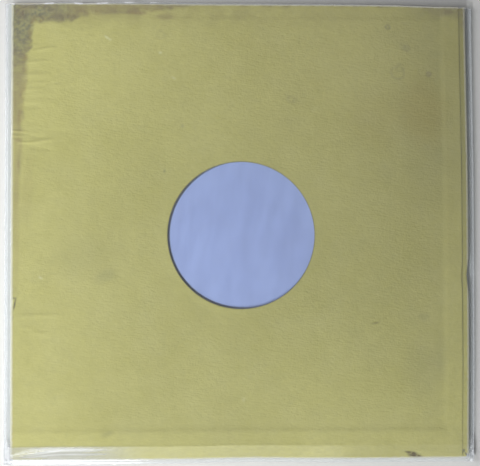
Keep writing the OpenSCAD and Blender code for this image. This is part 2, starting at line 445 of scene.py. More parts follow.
class Wire:
    """One output of a node. Sums, products and comparisons on it add Math nodes."""

    def __init__(self, graph: Graph, socket: bpy.types.NodeSocket) -> None:
        """Keeps the graph and the output that this stands for."""
        self.graph, self.socket = graph, socket

    def __add__(self, other: Wire | float) -> Wire:
        """Sum."""
        return self.graph.maths("ADD", self, other)

    def __mul__(self, other: Wire | float) -> Wire:
        """Product."""
        return self.graph.maths("MULTIPLY", self, other)

    __radd__, __rmul__ = __add__, __mul__

    def __sub__(self, other: Wire | float) -> Wire:
        """Difference."""
        return self.graph.maths("SUBTRACT", self, other)

    def __rsub__(self, other: float) -> Wire:
        """Difference from a number."""
        return self.graph.maths("SUBTRACT", other, self)

    def __truediv__(self, other: Wire | float) -> Wire:
        """Quotient."""
        return self.graph.maths("DIVIDE", self, other)

    def __pow__(self, other: Wire | float) -> Wire:
        """Power."""
        return self.graph.maths("POWER", self, other)

    def __abs__(self) -> Wire:
        """Size without sign."""
        return self.graph.maths("ABSOLUTE", self)


def turned_to(x: Wire, y: Wire, degrees: float) -> tuple[Wire, Wire]:
    """Gives how far a point lies along a direction, in degrees from +X, and how far across it."""
    cos, sin = float(np.cos(np.radians(degrees))), float(np.sin(np.radians(degrees)))
    return x * cos + y * sin, y * cos - x * sin


class Graph:
    """The nodes of a material or of the world, with the maker's few ways to add more."""

    def __init__(self, name: str, is_world: bool = False) -> None:
        """Starts an empty material, or an empty world, of that name.

        Args:
            name: Name of the material or the world.
            is_world: Whether the nodes are the world's.
        """
        self.is_world = is_world
        self.owner = (bpy.data.worlds if is_world else bpy.data.materials).new(name)
        self.owner.use_nodes = True
        self.tree = self.owner.node_tree
        self.tree.nodes.clear()

    def node(
        self,
        kind: str,
        settings: dict[str, object] | None = None,
        sockets: dict[str | int, object] | None = None,
        output: str | int = 0,
    ) -> Wire:
        """Adds a node, sets it up and links it.

        Args:
            kind: The node's type.
            settings: Its settings, which are set first.
            sockets: The values or wires of its inputs, by name or number.
            output: The output to return, by name or number.

        Returns:
            The wire of that output.
        """
        made = self.tree.nodes.new(kind)
        for key, value in (settings or {}).items():
            setattr(made, key, value)
        for key, value in (sockets or {}).items():
            if isinstance(value, Wire):
                self.tree.links.new(value.socket, made.inputs[key])
            else:
                made.inputs[key].default_value = value
        return Wire(self, made.outputs[output])

    def maths(self, operation: str, *values: Wire | float) -> Wire:
        """Adds a Math node on the values."""
        return self.node("ShaderNodeMath", {"operation": operation}, dict(enumerate(values)))

    def least(self, *values: Wire | float) -> Wire:
        """Gives the smallest of the values.

        Args:
            *values: Wires and numbers.

        Returns:
            The wire of the smallest.
        """
        lowest = values[0]
        for value in values[1:]:
            lowest = self.maths("MINIMUM", lowest, value)
        return lowest

    def most(self, *values: Wire | float) -> Wire:
        """Gives the greatest of the values.

        Args:
            *values: Wires and numbers.

        Returns:
            The wire of the greatest.
        """
        highest = values[0]
        for value in values[1:]:
            highest = self.maths("MAXIMUM", highest, value)
        return highest

    def rise(self, value: Wire, low: Wire | float, high: Wire | float) -> Wire:
        """Rises smoothly from 0 where value is low to 1 where it is high."""
        ends = {"Value": value, "From Min": low, "From Max": high}
        return self.node("ShaderNodeMapRange", {"interpolation_type": "SMOOTHSTEP"}, ends)

    def fall(self, value: Wire, low: Wire | float, high: Wire | float) -> Wire:
        """Falls smoothly from 1 where value is low to 0 where it is high."""
        return 1 - self.rise(value, low, high)

    def distance(self, x: Wire, y: Wire) -> Wire:
        """Gives the distance from the point where both coordinates are 0."""
        return (x * x + y * y) ** 0.5

    def place(self) -> Wire:
        """Gives the point on the piece in millimetres."""
        point = self.node("ShaderNodeTexCoord", output="Object")
        return self.stretch(point, (1 / MM, 1 / MM, 1 / MM))

    def unworn(self) -> Wire:
        """Gives the point on the sheet in millimetres, from before its outline was worn."""
        point = self.node("ShaderNodeAttribute", {"attribute_name": UNWORN}, output="Vector")
        return self.stretch(point, (1 / MM, 1 / MM, 1 / MM))

    def stretch(self, point: Wire, factors: tuple[float, float, float]) -> Wire:
        """Multiplies a point's three coordinates by factors."""
        sockets = {0: point, 1: factors}
        return self.node("ShaderNodeVectorMath", {"operation": "MULTIPLY"}, sockets)

    def axes(self, point: Wire) -> tuple[Wire, Wire, Wire]:
        """Splits a point into its x, y and z."""
        split = self.node("ShaderNodeSeparateXYZ", sockets={0: point})
        return split, *(Wire(self, split.socket.node.outputs[n]) for n in (1, 2))

    def noise(self, point: Wire, size: float, detail: float = 2.0, rough: float = 0.5) -> Wire:
        """Gives soft noise of 0 to 1 whose blots are about size millimetres across."""
        sockets = {"Vector": point, "Scale": 1 / size, "Detail": detail, "Roughness": rough}
        return self.node("ShaderNodeTexNoise", {}, sockets)

    def strokes(self, x: Wire, y: Wire, turn: float, length: float, width: float) -> Wire:
        """Gives noise of 0 to 1 that is drawn out into short strokes.

        Args:
            x: X on the piece.
            y: Y on the piece.
            turn: The strokes' direction, in degrees from +X.
            length: Length of a stroke.
            width: Width of a stroke.

        Returns:
            The noise.
        """
        along, across = turned_to(x, y, turn)
        point = self.node("ShaderNodeCombineXYZ", {}, {0: along / length, 1: across / width})
        return self.noise(point, 1.0, 3, 0.55)

    def mix(self, share: Wire | float, under: Wire | Colour, over: Wire | Colour) -> Wire:
        """Covers one colour with another by a share."""
        sockets = {0: share, 6: under, 7: over}
        return self.node("ShaderNodeMix", {"data_type": "RGBA"}, sockets, output=2)

    def dim(self, colour: Wire | tuple[float, float, float], factor: Wire) -> Wire:
        """Makes a colour lighter or darker by a factor."""
        sockets = {0: colour, "Scale": factor}
        return self.node("ShaderNodeVectorMath", {"operation": "SCALE"}, sockets)

    def relief(self, height: Wire, strength: float = 1.0) -> Wire:
        """Turns a height in millimetres into a normal."""
        sockets = {"Height": height, "Distance": MM, "Strength": strength}
        return self.node("ShaderNodeBump", {}, sockets, output="Normal")

    def spot(self, x: Wire, y: Wire, turn: float, length: float, width: float) -> Wire:
        """Gives a soft oval mask round x = 0 and y = 0: 1 inside, and 0 at its edge."""
        along, across = turned_to(x, y, turn)
        return self.fall(self.distance(along / length, across / width), 0.3, 1.0)

    def finish(self, shader: Wire) -> bpy.types.Material | bpy.types.World:
        """Sends a shader to the output.

        Args:
            shader: The shader.

        Returns:
            The material or the world.
        """
        out = self.tree.nodes.new(f"ShaderNodeOutput{'World' if self.is_world else 'Material'}")
        self.tree.links.new(shader.socket, out.inputs["Surface"])
        return self.owner

    def coat(self, colour: Wire, roughness: Wire | float, specular: float,
             normal: Wire | None = None) -> bpy.types.Material:
        """Finishes the material as an opaque surface.

        Args:
            colour: Its colour.
            roughness: Its roughness.
            specular: Its specular level.
            normal: Its normal. None keeps the mesh's own.

        Returns:
            The material.
        """
        sockets = {"Base Color": colour, "Roughness": roughness, "Specular IOR Level": specular}
        if normal is not None:
            sockets["Normal"] = normal
        return self.finish(self.node("ShaderNodeBsdfPrincipled", {}, sockets))


@dataclass(frozen=True)
class Mark:
    """A small mark on the card, such as a scratch, a speck, a smudge or a painted glint.

    Attributes:
        x: X of its middle.
        y: Y of its middle.
        length: Half its length.
        width: Half its width.
        turn: Direction of its length, in degrees from +X.
        colour: Its colour.
        strength: How far it covers the card, 0 to 1.
    """

    x: float
    y: float
    length: float
    width: float
    turn: float
    colour: Colour
    strength: float


GREASE, SCRATCH_AND_GLINT, RUST = srgb(118, 116, 84), srgb(236, 234, 186), srgb(98, 82, 34)
CRACK, RED_BROWN, OCHRE = srgb(92, 86, 56), srgb(146, 116, 82), srgb(160, 138, 58)

# The card's small marks, in the order in which they are laid over each other
CARD_MARKS = (
    # The white marks at the upper left, from x -92 to -46, and the one at x 1.4 are painted glints;
    # the other white marks are scratches, light marks and torn fibres.
    Mark(-92.0, 134.0, 3.4, 1.1, -38, SCRATCH_AND_GLINT, 0.6), Mark(-90.0, 132.6, 1.4, 1.4, 0, SCRATCH_AND_GLINT, 0.6),
    Mark(-55.4, 123.6, 1.7, 1.3, 0, SCRATCH_AND_GLINT, 0.65), Mark(-46.5, 106.3, 2.6, 1.1, -30, SCRATCH_AND_GLINT, 0.5),
    Mark(-137.0, -31.0, 2.4, 0.9, -40, SCRATCH_AND_GLINT, 0.6), Mark(50.4, 84.9, 3.0, 1.0, 60, SCRATCH_AND_GLINT, 0.20),
    Mark(53.4, 85.4, 3.0, 1.0, 118, SCRATCH_AND_GLINT, 0.15), Mark(1.4, -114.8, 1.3, 2.2, 0, SCRATCH_AND_GLINT, 0.40),
    Mark(-93.0, -30.0, 11.0, 6.0, 20, GREASE, 0.24),
    Mark(-108.0, -16.0, 34.0, 20.0, 10, GREASE, 0.12),
    Mark(-91.8, -138.5, 6.0, 2.4, 25, GREASE, 0.26), Mark(-40.3, 73.0, 1.2, 2.6, 0, GREASE, 0.35),
    Mark(-52.7, 42.0, 1.0, 1.8, 0, GREASE, 0.55), Mark(92.1, -62.7, 4.2, 1.1, 12, RUST, 0.55),
    Mark(99.0, -58.8, 3.4, 0.7, 35, RUST, 0.25), Mark(126.0, -58.0, 6.0, 3.0, 0, GREASE, 0.18),
    Mark(117.8, -153.2, 5.0, 2.9, -8, RUST, 1.0), Mark(120.8, -154.8, 5.8, 2.4, -10, RUST, 1.0),
    # The broad marks from x 96 to 138 are darker clouds on the card's right half, partly painted
    # shade.
    Mark(114.6, -151.6, 3.4, 1.2, -6, RUST, 0.8), Mark(126.0, 84.0, 22.0, 34.0, 6, OCHRE, 0.32),
    Mark(96.0, 80.0, 30.0, 30.0, 0, OCHRE, 0.12), Mark(124.0, -94.0, 19.0, 28.0, 0, GREASE, 0.15),
    Mark(138.0, -84.0, 7.0, 20.0, 0, GREASE, 0.12), Mark(153.4, -151.4, 2.4, 1.1, 50, CRACK, 0.9),
    Mark(155.6, -153.6, 2.0, 1.0, -30, CRACK, 0.8), Mark(-155.4, -44.8, 3.4, 0.8, -6, CRACK, 0.9),
    Mark(-154.5, -49.0, 6.0, 0.9, 80, CRACK, 0.95), Mark(-156.0, -58.4, 2.4, 0.8, 66, CRACK, 0.7),
    Mark(-156.4, -48.0, 3.6, 1.2, 84, SCRATCH_AND_GLINT, 0.7),
    Mark(-151.8, 76.0, 9.0, 1.8, 86, RED_BROWN, 0.30),
    Mark(-152.0, 46.0, 7.0, 1.4, 88, RED_BROWN, 0.36),
    Mark(-152.6, 63.0, 5.0, 1.6, 8, RED_BROWN, 0.34), Mark(-156.2, 92.0, 0.8, 1.1, 0, CRACK, 0.9),
    Mark(-52.0, 148.6, 9.0, 3.2, 0, RED_BROWN, 0.38),
    Mark(-71.0, 151.2, 9.0, 2.2, -4, RED_BROWN, 0.45),
    Mark(-150.8, 58.0, 9.0, 2.0, 84, RED_BROWN, 0.22),
    Mark(-146.0, 30.0, 34.0, 5.0, 88, RED_BROWN, 0.10),
    Mark(-153.3, 16.0, 74.0, 3.0, 90, RED_BROWN, 0.20),
)
# Rings left by drops, as the middle's x and y, the radius and the strength
WATER_RINGS = (
    (102.4, 142.4, 1.6, 0.34), (115.6, 127.6, 1.9, 0.26), (112.6, 129.2, 1.5, 0.14),
    (109.2, 110.1, 4.4, 0.18), (110.8, 114.0, 2.4, 0.12), (130.8, 109.5, 1.5, 0.36),
    (34.5, 91.8, 2.2, 0.16), (31.4, 93.6, 1.8, 0.10), (37.8, 90.6, 1.6, 0.10),
    (124.6, 98.0, 2.2, 0.12), (-55.0, 136.0, 2.6, 0.12), (125.0, -59.0, 2.2, 0.10),
)


@dataclass(frozen=True)
class CardPoint:
    """A point of the card with the noises that its stains and marks share.

    Attributes:
        x: X on the piece.
        y: Y on the piece.
        left: Distance from the spine.
        right: Distance from the right fold.
        top: Distance from the mouth edge.
        blots: Noise of 0 to 1 with blots of a finger's width.
        mottle: Noise of 0 to 1 with blots of a few millimetres.
        grain: Noise of 0 to 1 with fine grains.
        wave: Noise of -0.5 to 0.5 that frays and bends outlines.
        front: 1 on the front panel, less on the back.
    """

    x: Wire
    y: Wire
    left: Wire
    right: Wire
    top: Wire
    blots: Wire
    mottle: Wire
    grain: Wire
    wave: Wire
    front: Wire


@dataclass(frozen=True)
class CardFace:
    """Coloured face of the jacket: mottled yellow, with water stains, worn folds and dirt, and with
    painted light and shade: lighter and darker by place, browner towards its upper right, and dark
    lines round the window and under the raw edge.

    Attributes:
        light: Colour of the clean card.
        dark: Colour of its darker blots.
        stain: Colour of the card inside the corner stain.
        tide: Colour of that stain's rim and of its darkest patches.
        rust: Colour of the rim's warmer stretches.
        brown: Colour of the stain along the edges.
        worn: Colour of the bare fibres on the folds.
        dirt_and_shade: Colour of the dirt and painted shade round the window and under the raw edge.
        left: X of the spine.
        right: X of the right fold.
        top: Y of the front panel's mouth edge.
        foot: Y of the bottom fold.
        raw_edge: X of the front panel's raw edge, over the right flap.
    """

    light: Colour = srgb(197, 191, 120)
    dark: Colour = srgb(186, 180, 107)
    stain: Colour = srgb(122, 119, 98)
    tide: Colour = srgb(112, 96, 88)
    rust: Colour = srgb(150, 122, 66)
    brown: Colour = srgb(155, 139, 95)
    worn: Colour = srgb(226, 222, 202)
    dirt_and_shade: Colour = srgb(70, 66, 52)
    left: float = -157.5
    right: float = 157.5
    top: float = 157.4
    foot: float = -155.9
    raw_edge: float = 152.5

    def inside_stain(self, graph: Graph, left: Wire, top: Wire) -> Wire:
        """Gives how far a point lies inside the water stain of the top left corner. The stain is a
        band along the spine and a band along the mouth, both deeper towards their corner.

        Args:
            graph: The material's graph.
            left: Distance from the spine.
            top: Distance from the mouth edge.

        Returns:
            The distance from the stain's outline, which is positive inside.
        """
        side_depth = (10.0 + graph.fall(top, 29, 36) * 3.6 + graph.fall(top, 10, 20) * 2.0
                      - graph.rise(top, 48, 66) * 2.4 - graph.rise(top, 66, 95) * 1.0
                      - graph.rise(top, 100, 172) * 6)
        top_depth = (5.6 + graph.fall(left, 40, 48) * 4.6 + graph.fall(left, 60, 85) * 1.4
                     - graph.rise(left, 84, 130) * 6)
        return graph.most(side_depth - left, top_depth - top)

    def stained(self, graph: Graph, colour: Wire, at: CardPoint) -> Wire:
        """Lays the water stains of the top corners over the card's colour.

        Args:
            graph: The material's graph.
            colour: The card's colour.
            at: The point of the card.

        Returns:
            The stained colour.
        """
        left, top, blots, wave, front = at.left, at.top, at.blots, at.wave, at.front
        inside = self.inside_stain(graph, left, top) + wave * 6 + (at.grain - 0.5) * 5
        near = graph.fall(graph.distance(left, top), 18, 62)
        patchy = graph.rise(at.mottle * 0.45 + at.grain * 0.55, 0.42, 0.58)
        along = graph.fall(top, 72, 98) * 0.65 + 0.35
        body = graph.rise(inside, -3.0, 2.6) * (near * 0.12 + 0.78) * (patchy * 0.40 + 0.64)
        colour = graph.mix(body * along * front, colour, graph.mix(near, self.brown, self.stain))
        deep = graph.rise(inside, 0.0, 3.5) * near * graph.rise(blots, 0.46, 0.62)
        colour = graph.mix(deep * (patchy * 0.4 + 0.25) * front, colour, self.tide)
        band = graph.rise(inside, -2.4, 0.2) * graph.fall(inside, 0.6, 4.0)
        band = band * graph.rise(blots * 0.4 + at.mottle * 0.6, 0.38, 0.58) * along
        colour = graph.mix(band * front * (near * 0.20 + 0.38), colour,
                           graph.mix(graph.rise(blots, 0.42, 0.56), self.rust, self.tide))
        haze = graph.fall(top + wave * 8, 5, 20) * graph.fall(left, 120, 290)
        colour = graph.mix(haze * front * graph.rise(blots, 0.30, 0.65) * 0.30, colour, self.brown)
        far = graph.most(
            graph.fall(top + wave * 9, 4.0, 11.0) * graph.fall(at.right + wave * 12, 12, 44),
            graph.fall(at.right + wave * 5, 1.5, 6.0) * graph.fall(top, 6, 26),
        )
        return graph.mix(far * (patchy * 0.40 + 0.18) * front, colour, self.tide)

    def marked(self, graph: Graph, colour: Wire, at: CardPoint) -> Wire:
        """Lays the water rings and the small marks over the card's colour.

        Args:
            graph: The material's graph.
            colour: The card's colour.
            at: The point of the card.

        Returns:
            The marked colour.
        """
        for x, y, radius, strength in WATER_RINGS:
            reach = graph.distance(at.x - x, at.y - y)
            ring = graph.fall(abs(reach + at.wave * 3 - radius), 0.3, 1.1)
            colour = graph.mix(ring * at.front * strength, colour, self.tide)
        ragged = graph.rise(at.grain, 0.25, 0.55)
        for mark in CARD_MARKS:
            spot = graph.spot(at.x - mark.x, at.y - mark.y, mark.turn, mark.length, mark.width)
            colour = graph.mix(spot * ragged * at.front * mark.strength, colour, mark.colour)
        return colour

    def painted_light_share(self, graph: Graph, x: Wire, y: Wire) -> Wire:
        """Gives how much lighter the card is by its place, as a share: painted light and shade that
        even out the lamps over the card. Light are its upper part, its spine side, its middle right,
        the parts over the flaps, and the strip along its bottom edge, which holds a painted highlight
        that turns to painted shade at its left end. Its upper right and its raw edge are dark.

        Args:
            graph: The material's graph.
            x: X on the piece.
            y: Y on the piece.

        Returns:
            The share, which is negative where the card is darker.
        """
        pressed = graph.most(graph.rise(x, 140.6, 143.0), graph.fall(y, -139.0, -136.8))
        strip = graph.fall(y, STRIP_WHOLE, STRIP_END)
        # Painted highlight along the middle of the bottom strip, and painted shade at its left end
        clean = strip * graph.fall(x, 62, 78) * (graph.rise(x, -130, -60) * 2.2 - 1.2)
        return (graph.rise(y, -20, 150) * 0.18 + pressed * 0.06 + clean * 0.20 + strip * 0.07
                + graph.fall(x, -150, -50) * 0.055
                + graph.rise(x, -20, 50) * graph.fall(y, -120, -50) * 0.09
                - graph.rise(x, 70, 150) * graph.rise(y, -5, 60) * 0.21
                - graph.rise(x, 152.8, 153.6) * graph.rise(y, -70, 0) * 0.12)

    def make(self) -> bpy.types.Material:
        """Builds the finish.

        Returns:
            The material.
        """
        graph = Graph("card_face")
        point = graph.unworn()
        x, y, z = graph.axes(point)
        flat = graph.stretch(point, (1, 1, 0))
        left, right = x - self.left, self.right - x
        top, foot = self.top - y, y - self.foot
        broad, blots = graph.noise(flat, 80, 3), graph.noise(flat, 14, 4, 0.6)
        mottle, grain = graph.noise(flat, 4.2, 3, 0.6), graph.noise(flat, 1.9, 3, 0.65)
        fibre, laid = graph.noise(point, 0.6, 2), graph.strokes(x, y, -9, 5.5, 1.2)
        wave = graph.noise(flat, 9, 4, 0.6) - 0.5
        front = graph.rise(z, 1.0, 3.0) * 0.7 + 0.3
        at = CardPoint(x, y, left, right, top, blots, mottle, grain, wave, front)

        colour = graph.mix(graph.rise(broad * 0.6 + blots * 0.4, 0.3, 0.7), self.light, self.dark)
        # Painted shade: the card turns browner and darker towards its upper right.
        colour = graph.mix(graph.rise(x + y, -40, 300) * front * 0.22, colour, self.brown)
        tone = ((grain - 0.5) * 0.36 + (mottle - 0.5) * 0.18 + (laid - 0.5) * 0.12
                + (fibre - 0.5) * 0.12 + 1.0)
        # The card's tone, times its painted light and shade by place
        colour = graph.dim(colour, tone * (self.painted_light_share(graph, x, y) * front + 1))
        colour = self.marked(graph, self.stained(graph, colour, at), at)

        fray = (grain - 0.5) * 2.2
        worn = graph.most(
            graph.fall(left + fray, 0.9, 2.1),
            graph.fall(right + fray, 0.8, 2.1),
            graph.fall(foot + fray, 0.7, 1.5) * 0.7,
            graph.fall(top + fray * 0.6, 0.3, 1.2) * 0.8,
        )
        colour = graph.mix(worn * 0.85, colour, self.worn)
        # Dirt and painted shadow along the gap under the front panel's raw edge
        seam = graph.fall(abs(x - self.raw_edge - 0.35), 0.15, 0.7) * graph.rise(z, 3.0, 3.4)
        seam = seam * (graph.rise(y, -140, -60) * 0.45 + 0.55)
        colour = graph.mix(seam * (mottle * 0.5 + 0.08), colour, self.dirt_and_shade)
        # Dirt and painted shade in a dark band round the window's edge
        reach = graph.distance(x, y - MIDDLE_Y) + fray * 0.15
        edge = graph.fall(reach, WINDOW_RADIUS + 0.1, WINDOW_RADIUS + 0.7)
        colour = graph.mix(edge * 0.6, colour, self.dirt_and_shade)

        height = grain * 0.20 + laid * 0.14 + blots * 0.25 + fibre * 0.02
        roughness = worn * 0.15 + grain * 0.1 + 0.62
        return graph.coat(colour, roughness, 0.35, graph.relief(height))


@dataclass(frozen=True)
class PlainSheet:
    """Plain paper or board: a fibrous colour with slow blots and a soft relief.

    Attributes:
        name: Name of the material.
        colour: Its main colour.
        blot: Colour of the blots.
        blot_size: Size of the blots.
        fibre_size: Size of the fibre specks.
        contrast: How far the specks lighten and darken the colour.
        relief: Height of the fibre relief.
        roughness: Roughness of the surface.
    """

    name: str
    colour: Colour
    blot: Colour
    blot_size: float = 18.0
    fibre_size: float = 0.8
    contrast: float = 0.12
    relief: float = 0.05
    roughness: float = 0.75

    def make(self) -> bpy.types.Material:
        """Builds the finish.

        Returns:
            The material.
        """
        graph = Graph(self.name)
        point = graph.unworn()
        blots = graph.noise(point, self.blot_size, 3)
        fibres = graph.noise(point, self.fibre_size, 3, 0.6)
        colour = graph.mix(graph.rise(blots, 0.3, 0.7), self.colour, self.blot)
        colour = graph.dim(colour, (fibres - 0.5) * self.contrast + 1)
        roughness = fibres * 0.1 + (self.roughness - 0.05)
        return graph.coat(colour, roughness, 0.3, graph.relief(fibres * self.relief))


@dataclass(frozen=True)
class SleevePaper:
    """Thin bluish paper, with fine upright bands where it was folded by hand, and a dark line of
    painted shadow that the jacket's window edge casts on it, widest on the side towards the lamps.

    Attributes:
        colour: Colour of the paper.
        shade: Colour of its darker bands.
        painted_light: Colour of the line of painted shadow.
    """

    colour: Colour = srgb(176, 193, 242)
    shade: Colour = srgb(164, 180, 230)
    painted_light: Colour = srgb(74, 76, 86)

    def make(self) -> bpy.types.Material:
        """Builds the finish.

        Returns:
            The material.
        """
        graph = Graph("sleeve_paper")
        point = graph.unworn()
        x, y, z = graph.axes(point)
        bands = graph.strokes(x, y, 81, 44, 9)
        clouds, fibres = graph.noise(point, 22, 3), graph.noise(point, 0.7, 3)
        colour = graph.mix(graph.rise(bands * 0.6 + clouds * 0.4, 0.32, 0.68),
                           self.colour, self.shade)
        colour = graph.dim(colour, (fibres - 0.5) * 0.06 + 1)
        dy = y - MIDDLE_Y
        reach = graph.distance(x, dy) + (fibres - 0.5) * 0.6
        front = graph.rise(z, 2, 2.6)
        # Painted shadow of the window's edge, widest and darkest on its left, towards the lamps
        beside = graph.fall((x * 0.95 + dy * 0.30) / WINDOW_RADIUS, -0.62, 0.32)
        line = graph.rise(reach, WINDOW_RADIUS - 0.3 - beside * 1.45,
                          WINDOW_RADIUS - 0.1 - beside) * front
        line = line * graph.fall(reach, WINDOW_RADIUS + 0.6, WINDOW_RADIUS + 1.8)
        colour = graph.mix(line * (beside * 0.47 + 0.43), colour, self.painted_light)
        normal = graph.relief(fibres * 0.02 + bands * 0.05)
        return graph.coat(colour, fibres * 0.08 + 0.6, 0.35, normal)


# The wavy mouth edge of the film, as points from left to right
MOUTH = ((-162.0, 157.2), (-144.0, 156.7), (-131.0, 157.7), (-118.0, 158.1), (-105.0, 157.4),
         (-84.0, 158.5), (-52.0, 158.6), (-26.0, 157.9), (60.0, 157.8), (162.0, 157.0))


@dataclass(frozen=True)
class ClearFilm:
    """Clear soft film: it shows what lies behind it, mirrors the lamps by its Fresnel share, and is
    hazy where it is scuffed or welded. White haze is also painted on it as a highlight along the
    jacket's bottom edge and as glints along its mouth. The mirror share has no colour, so it is a
    white metal.

    Attributes:
        tint: Colour of what shows through.
        sheen: Colour of the reflection and of the haze.
        mirror: Share of light that it mirrors where it is seen from straight above.
        weld: X where the welds begin.
        foot: Y where the film leaves the jacket at its bottom edge.
    """

    tint: Colour = (0.975, 0.985, 0.99, 1.0)
    sheen: Colour = (0.93, 0.95, 0.98, 1.0)
    mirror: float = 0.019
    weld: float = 160.3
    foot: float = -156.0

    def mouth_line(self, graph: Graph, x: Wire) -> Wire:
        """Gives the mouth edge's y at x: straight between the points of MOUTH.

        Args:
            graph: The material's graph.
            x: X on the piece.

        Returns:
            The edge's y.
        """
        curve = MOUTH[0][1]
        for (start, low), (end, high) in zip(MOUTH, MOUTH[1:]):
            ends = {"Value": x, "From Min": start, "From Max": end}
            curve = curve + graph.node("ShaderNodeMapRange", {}, ends) * (high - low)
        return curve

    def painted_glare(self, graph: Graph, x: Wire, y: Wire, drawn: Wire) -> Wire:
        """Gives a white haze painted as the highlight of the stretched film over the jacket's bottom
        edge, near the left corner: a veil over the whole strip, and two thin lines in it that bend
        down to the corner.

        Args:
            graph: The material's graph.
            x: X on the piece.
            y: Y on the piece.
            drawn: Noise of 0 to 1 that is drawn out along X.

        Returns:
            The haze.
        """
        bend = graph.rise(x, -159, -118)
        veil = graph.fall(y, STRIP_WHOLE, -145.8) * graph.fall(x, -118, -52)
        veil = veil * (graph.rise(x, -156, -128) * 0.55 + 0.45)
        upper, lower = bend * 4.6 - 153.6, bend * 2.4 - 154.2
        thin = graph.fall(abs(y - upper), 0.25, 1.1) + graph.fall(abs(y - lower), 0.2, 0.9)
        ends = graph.rise(x, -158, -132) * graph.fall(x, -112, -84)
        return veil * (drawn * 0.14 + 0.15) + thin * ends * (drawn * 0.3 + 0.05)

    def make(self) -> bpy.types.Material:
        """Builds the finish.

        Returns:
            The material.
        """
        graph = Graph("clear_film")
        point = graph.unworn()
        x, y, z = graph.axes(point)
        flat, front = graph.stretch(point, (1, 1, 0)), graph.rise(z, 2.2, 2.8)
        clouds, scuff = graph.noise(flat, 24, 4, 0.6), graph.noise(flat, 1.2, 3, 0.7)
        hairs = graph.noise(graph.stretch(point, (0.06, 1.3, 0)), 0.9, 2, 0.4)
        ripple = graph.noise(graph.stretch(point, (1, 0.35, 0)), 5, 2)
        crushed = graph.rise(abs(x), 156.5, 158.5) * graph.fall(y, -150, -140)
        drawn = graph.noise(graph.stretch(point, (0.10, 1.5, 0)), 1.0, 2)
        height = (ripple * 0.03 + crushed * scuff * 0.5
                  + drawn * graph.fall(y, -147.0, -144.0) * 0.035)
        normal = graph.relief(height)
        facing = graph.node("ShaderNodeLayerWeight", {}, {"Blend": 0.5, "Normal": normal},
                            output="Facing")
        share = facing**5 * (1 - self.mirror) + self.mirror
        welded = graph.rise(abs(x), self.weld - 0.3, self.weld + 0.3) * 0.16
        edges = graph.fall(y, self.foot - 1.2, self.foot + 1) * 0.10
        # Painted highlight: white haze along the strip over the jacket's bottom edge
        painted_light = graph.fall(y, STRIP_WHOLE, STRIP_END) * (graph.fall(x, 62, 76) * 0.035 + 0.02)
        lip = self.mouth_line(graph, x)
        cut = graph.rise(y - lip, -1.4, -0.3) * front
        # Painted glints: white haze in short strokes along the mouth edge
        painted_glints = graph.rise(graph.strokes(x, y, 0, 9, 40), 0.52, 0.58) * graph.fall(x, -95, -30)
        haze = (graph.rise(clouds, 0.35, 0.8) * 0.012 + graph.rise(scuff, 0.66, 0.8) * 0.05
                + graph.rise(hairs, 0.70, 0.78) * 0.06 + 0.004)
        haze = haze + painted_light * front * (clouds * 0.8 + 0.6) + cut * (painted_glints * 0.75 + 0.12)
        # Painted highlight of the glare along the bottom edge near the left corner
        haze = haze + self.painted_glare(graph, x, y, drawn) * graph.rise(z, 0.9, 1.4)
        haze = graph.least(haze + welded + edges + crushed * scuff * 0.5, 0.9)
        sockets = {"Base Color": self.sheen, "Metallic": share / (share + haze),
                   "Roughness": scuff * 0.05 + 0.10, "Normal": normal}
        skin = graph.node("ShaderNodeBsdfPrincipled", {}, sockets)
        clear = graph.node("ShaderNodeBsdfTransparent", {}, {"Color": self.tint})
        shader = graph.node("ShaderNodeMixShader", {}, {0: share + haze, 1: clear, 2: skin})
        return graph.finish(shader)


@dataclass(frozen=True)
class Vinyl:
    """Black pressed vinyl: glossy land, and cut bands with a fine round groove relief.

    Attributes:
        first_band: Radius where the bands begin.
        last_band: Radius where they end.
        colour: Colour of the vinyl.
        dust: Colour of the dust.
        groove: Distance between the drawn grooves.
    """

    first_band: float
    last_band: float
    colour: Colour = srgb(22, 22, 24)
    dust: Colour = srgb(96, 94, 92)
    groove: float = 0.42

    def make(self) -> bpy.types.Material:
        """Builds the finish.

        Returns:
            The material.
        """
        graph = Graph("vinyl")
        point = graph.place()
        x, y, _ = graph.axes(point)
        radius = graph.distance(x, y - MIDDLE_Y)
        cut = graph.rise(radius, self.first_band - 0.2, self.first_band + 0.2)
        cut = cut * graph.fall(radius, self.last_band - 0.2, self.last_band + 0.2)
        waves = graph.maths("SINE", radius * (2 * np.pi / self.groove))
        loud = graph.noise(graph.node("ShaderNodeCombineXYZ", {}, {0: radius}), 0.9, 3, 0.7)
        dust = graph.noise(point, 0.5, 2)
        normal = graph.relief(waves * cut * (loud * 0.012 + 0.004))
        colour = graph.mix(graph.rise(dust, 0.70, 0.82) * 0.3, self.colour, self.dust)
        roughness = cut * (loud * 0.16 + 0.10) + dust * 0.04 + 0.12
        return graph.coat(colour, roughness, 0.55, normal)


